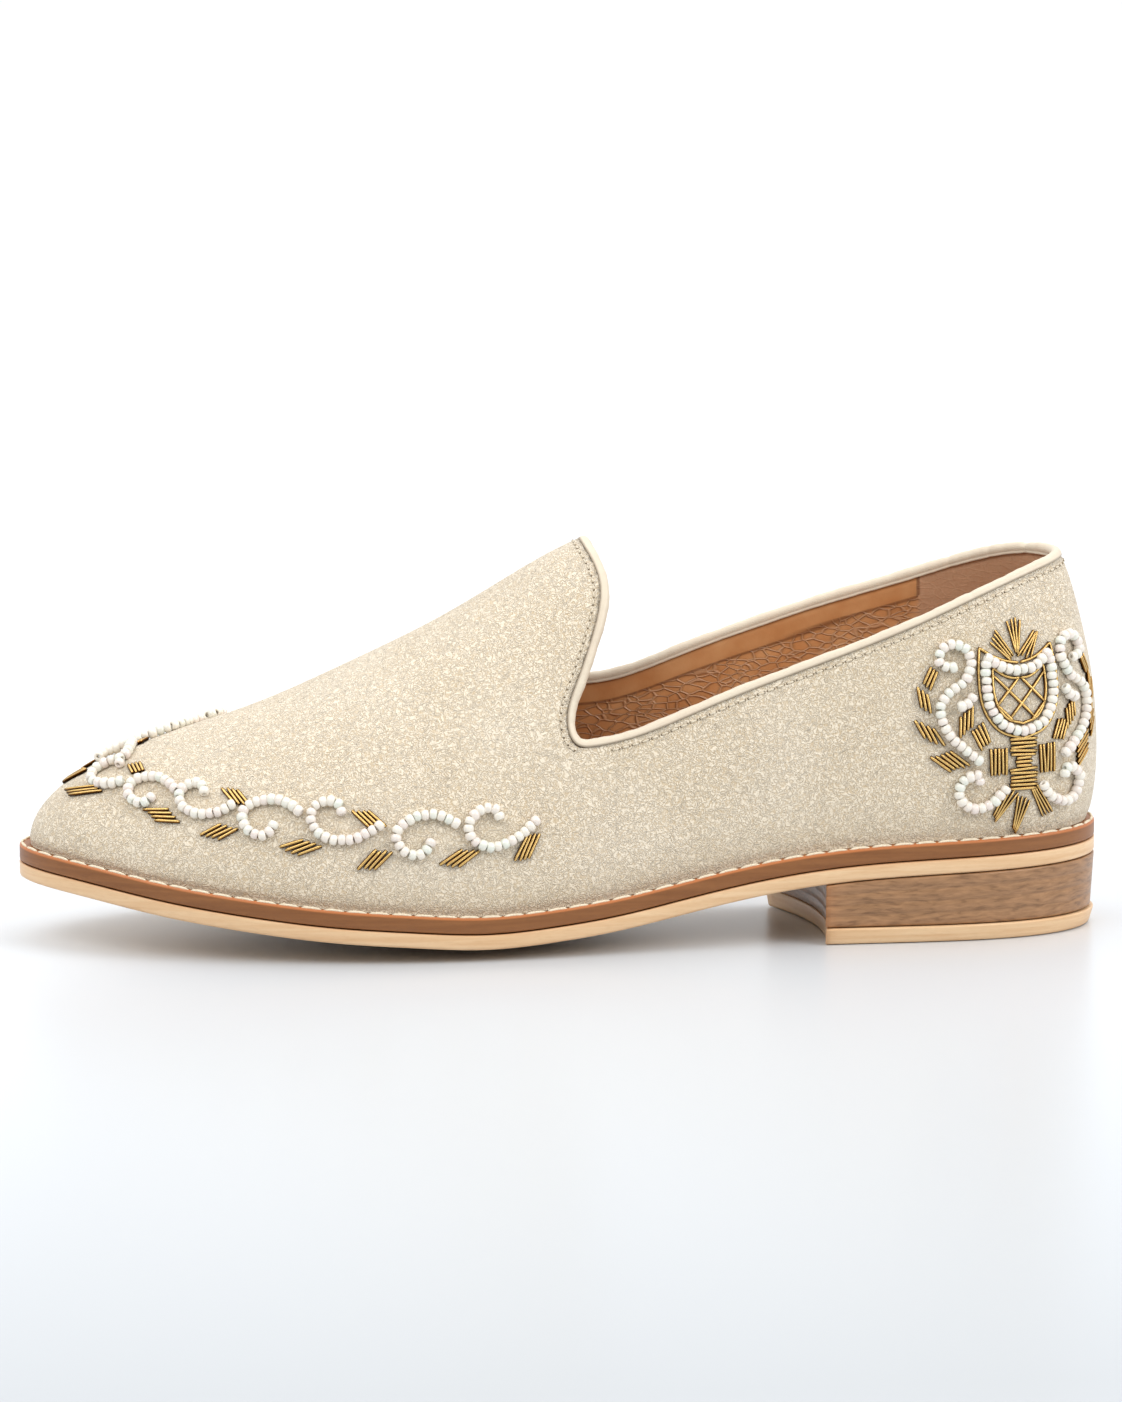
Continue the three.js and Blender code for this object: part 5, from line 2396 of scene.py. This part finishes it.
@dataclass
class Studio:
    """The floor, the soft lights and the camera."""

    azimuth: float = -6.0
    elevation: float = 9.2
    distance: float = 2.4
    pixels_per_mm: float = 4.006
    target: tuple[float, float, float] = (0.0002, 0.0017, 0.0574)
    frame_height: int = 1402
    sensor: float = 36.0
    farthest: float = 50.0
    room_level: float = 0.62
    room_overhead: float = 0.72
    room_behind: float = 0.3
    lamp_aim: tuple[float, float, float] = (0.0, 0.0, 0.05)
    lamps: tuple[Lamp, ...] = table(
        Lamp,
        ("key_left", (-0.9, -0.9, 1.3), (1.0, 0.8), 9, (1.0, 0.99, 0.97)),
        ("top", (0.1, 0.3, 1.7), (1.6, 1.0), 6),
        ("rim_right", (1.1, -0.75, 0.8), (0.8, 0.6), 8),
    )
    floor_reach: float = 30.0
    floor_level: float = -0.0002

    @staticmethod
    def stand(name: str, data: bpy.types.ID, place: Vector, back: Vector) -> bpy.types.Object:
        """Stands a camera or a light in the room.

        Args:
            name: Its name.
            data: The camera or the light.
            place: Where it stands.
            back: The direction that it turns its back to.

        Returns:
            The new object.
        """
        made = bpy.data.objects.new(name, data)
        made.location = place
        made.rotation_euler = back.to_track_quat("Z", "Y").to_euler()
        bpy.context.scene.collection.objects.link(made)
        return made

    def camera(self) -> None:
        """Places the camera at the photograph's angle."""
        data = bpy.data.cameras.new("camera")
        data.sensor_fit = "VERTICAL"
        data.sensor_height = self.sensor
        data.lens = self.sensor * self.pixels_per_mm * self.distance / MM / self.frame_height
        data.clip_end = self.farthest
        azimuth, elevation = math.radians(self.azimuth), math.radians(self.elevation)
        flat = math.cos(elevation)
        back = Vector((math.sin(azimuth) * flat, -math.cos(azimuth) * flat, math.sin(elevation)))
        place = Vector(self.target) + back * self.distance
        bpy.context.scene.camera = self.stand("camera", data, place, back)

    def light(self, lamp: Lamp) -> None:
        """Adds a soft light.

        Args:
            lamp: The light.
        """
        data = bpy.data.lights.new(lamp.name, "AREA")
        data.shape = "RECTANGLE"
        data.size, data.size_y = lamp.size
        data.energy = lamp.watts
        data.color = lamp.tint
        place = Vector(lamp.place)
        self.stand(lamp.name, data, place, place - Vector(self.lamp_aim))

    def surround(self) -> None:
        """Lights the room round the shoe: brightest overhead, and darker on the photographer's side."""
        world = bpy.data.worlds.new("studio_world")
        world.use_nodes = True
        s = NodeSketch(world.node_tree, "Generated")
        glow = s.math("MULTIPLY_ADD", s.axis(2), self.room_overhead, self.room_level)
        glow = s.math("MULTIPLY_ADD", s.axis(1), self.room_behind, glow)
        backdrop = s.tree.nodes["Background"]
        s.plug("ffffff", backdrop.inputs["Color"])
        s.plug(glow, backdrop.inputs["Strength"])
        bpy.context.scene.world = world

    def floor(self) -> None:
        """Lays the floor."""
        mesh = bpy.data.meshes.new("studio_floor")
        reach = self.floor_reach
        corners = [(-reach, -reach, 0), (reach, -reach, 0), (reach, reach, 0), (-reach, reach, 0)]
        mesh.from_pydata(corners, [], [(0, 1, 2, 3)])
        mesh.materials.append(FloorFinish().material())
        floor = bpy.data.objects.new("studio_floor", mesh)
        floor.location.z = self.floor_level
        bpy.context.scene.collection.objects.link(floor)

    def build(self) -> None:
        """Sets up the whole studio."""
        self.camera()
        for lamp in self.lamps:
            self.light(lamp)
        self.surround()
        self.floor()
        bpy.context.scene.view_settings.view_transform = "Standard"


class Finishes:
    """Every finish of the shoe, each made once."""

    def __init__(self) -> None:
        """Makes the materials."""
        # The fourth tone is the rim colour: a painted highlight on the welt, a darker edge tone on the sole.
        welt = "7f4c1d", "905b2b", "643b18", "c4733a", 0.5, 0.3
        sole = "dfb688", "edcca2", "c59968", "b98050", 0.45, 0.25
        self.suede = SuedeFinish().material()
        self.binding = BindingFinish().material()
        self.lining = LiningFinish().material()
        self.footbed = FootbedFinish().material()
        self.welt = EdgeLeatherFinish("welt_leather", *welt).material()
        self.sole = EdgeLeatherFinish("sole_leather", *sole).material()
        self.stack = StackFinish().material()
        self.pearl = PearlFinish().material()
        self.gold = GoldFinish().material()
        self.thread = ThreadFinish("welt_thread", "efe2c9").material()
        self.fine_thread = ThreadFinish("collar_thread", "e4dac6").material()
        # Dark plugs that paint the shade inside each stitch hole.
        self.hole = ThreadFinish("stitch_hole_shade", "5b4a37", 1.0).material()


@dataclass
class Dresser:
    """Builds the gathered pieces and ties them to the frame."""

    placement: Placement
    fine: float = 0.002
    coarse: float = 0.004

    def dress(
        self,
        made: MeshBuilder,
        name: str,
        material: bpy.types.Material,
        slot: str = "",
        replaces: str = "",
        merge: float = 0.0,
    ) -> None:
        """Builds a piece, gives it its finish and ties it to the frame.

        Args:
            made: The gathered mesh.
            name: The piece's name.
            material: Its finish.
            slot: The record's material that it stands for, if any. Not used.
            replaces: The node that it stands in for, if any.
            merge: Points nearer than this many millimetres become one.
        """
        piece = made.build(name, self.placement, merge)
        piece.data.materials.append(material)
        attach(piece, "root")
        if replaces:
            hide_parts(replaces)
        LOG.info("%s: %d faces", name, len(piece.data.polygons))

    def sole(self, form: LastForm, finishes: Finishes) -> None:
        """Dresses the sole, the heel and the footbed.

        Args:
            form: The last.
            finishes: The shoe's finishes.
        """
        unit_of_sole, heel = SoleUnit(form), HeelUnit(form)
        leather, fine = "sole_leather", self.fine
        self.dress(unit_of_sole.outsole(), "outsole_leather", finishes.sole, leather, "outsole", fine)
        self.dress(unit_of_sole.midsole(), "midsole_welt", finishes.welt, "welt_leather", "midsole", fine)
        self.dress(unit_of_sole.stitches(), "welt_stitches", finishes.thread, merge=fine)
        self.dress(heel.stack(), "heel_stacked", finishes.stack, "stacked_leather", "heel_stack", fine)
        self.dress(heel.top_lift(), "heel_top_lift", finishes.sole, leather, "top_lift", fine)
        self.dress(Footbed(form).sheet(), "footbed", finishes.footbed, "lining_leather", "insole", fine)

    def upper(self, form: LastForm, finishes: Finishes) -> None:
        """Dresses the upper, its lining, its binding and their stitches.

        Args:
            form: The last.
            finishes: The shoe's finishes.
        """
        upper = UpperUnit(form)
        self.dress(upper.shell(), "upper_suede", finishes.suede, "suede", "upper", self.coarse)
        self.dress(upper.lining(), "upper_lining", finishes.lining, "lining_leather", merge=self.coarse)
        self.dress(upper.binding(), "collar_roll", finishes.binding, "binding_leather", "collar_binding")
        threads, hole_shades = upper.stitches()
        self.dress(threads, "collar_stitches", finishes.fine_thread, merge=self.fine)
        # Dark plugs that paint the shade inside each stitch hole.
        self.dress(hole_shades, "stitch_hole_shade", finishes.hole, merge=self.fine)

    def embroidery(self, form: LastForm, finishes: Finishes) -> None:
        """Sews the vine and the crest, and dresses their beads and bars.

        Args:
            form: The last.
            finishes: The shoe's finishes.
        """
        work = Embroidery(form)
        Vine(work).sew()
        Crest(work).sew()
        self.dress(work.beads, "seed_beads", finishes.pearl)
        self.dress(work.bars, "gold_bugles", finishes.gold, merge=self.fine)


def main() -> None:
    """Sets up the studio and builds the shoe's assemblies in order."""
    logging.basicConfig(level=logging.INFO, format="%(name)s: %(message)s")
    form = LastForm()
    finishes = Finishes()
    Studio().build()
    dresser = Dresser(Placement(form))
    dresser.sole(form, finishes)
    dresser.upper(form, finishes)
    dresser.embroidery(form, finishes)


if __name__ == "__main__":
    main()
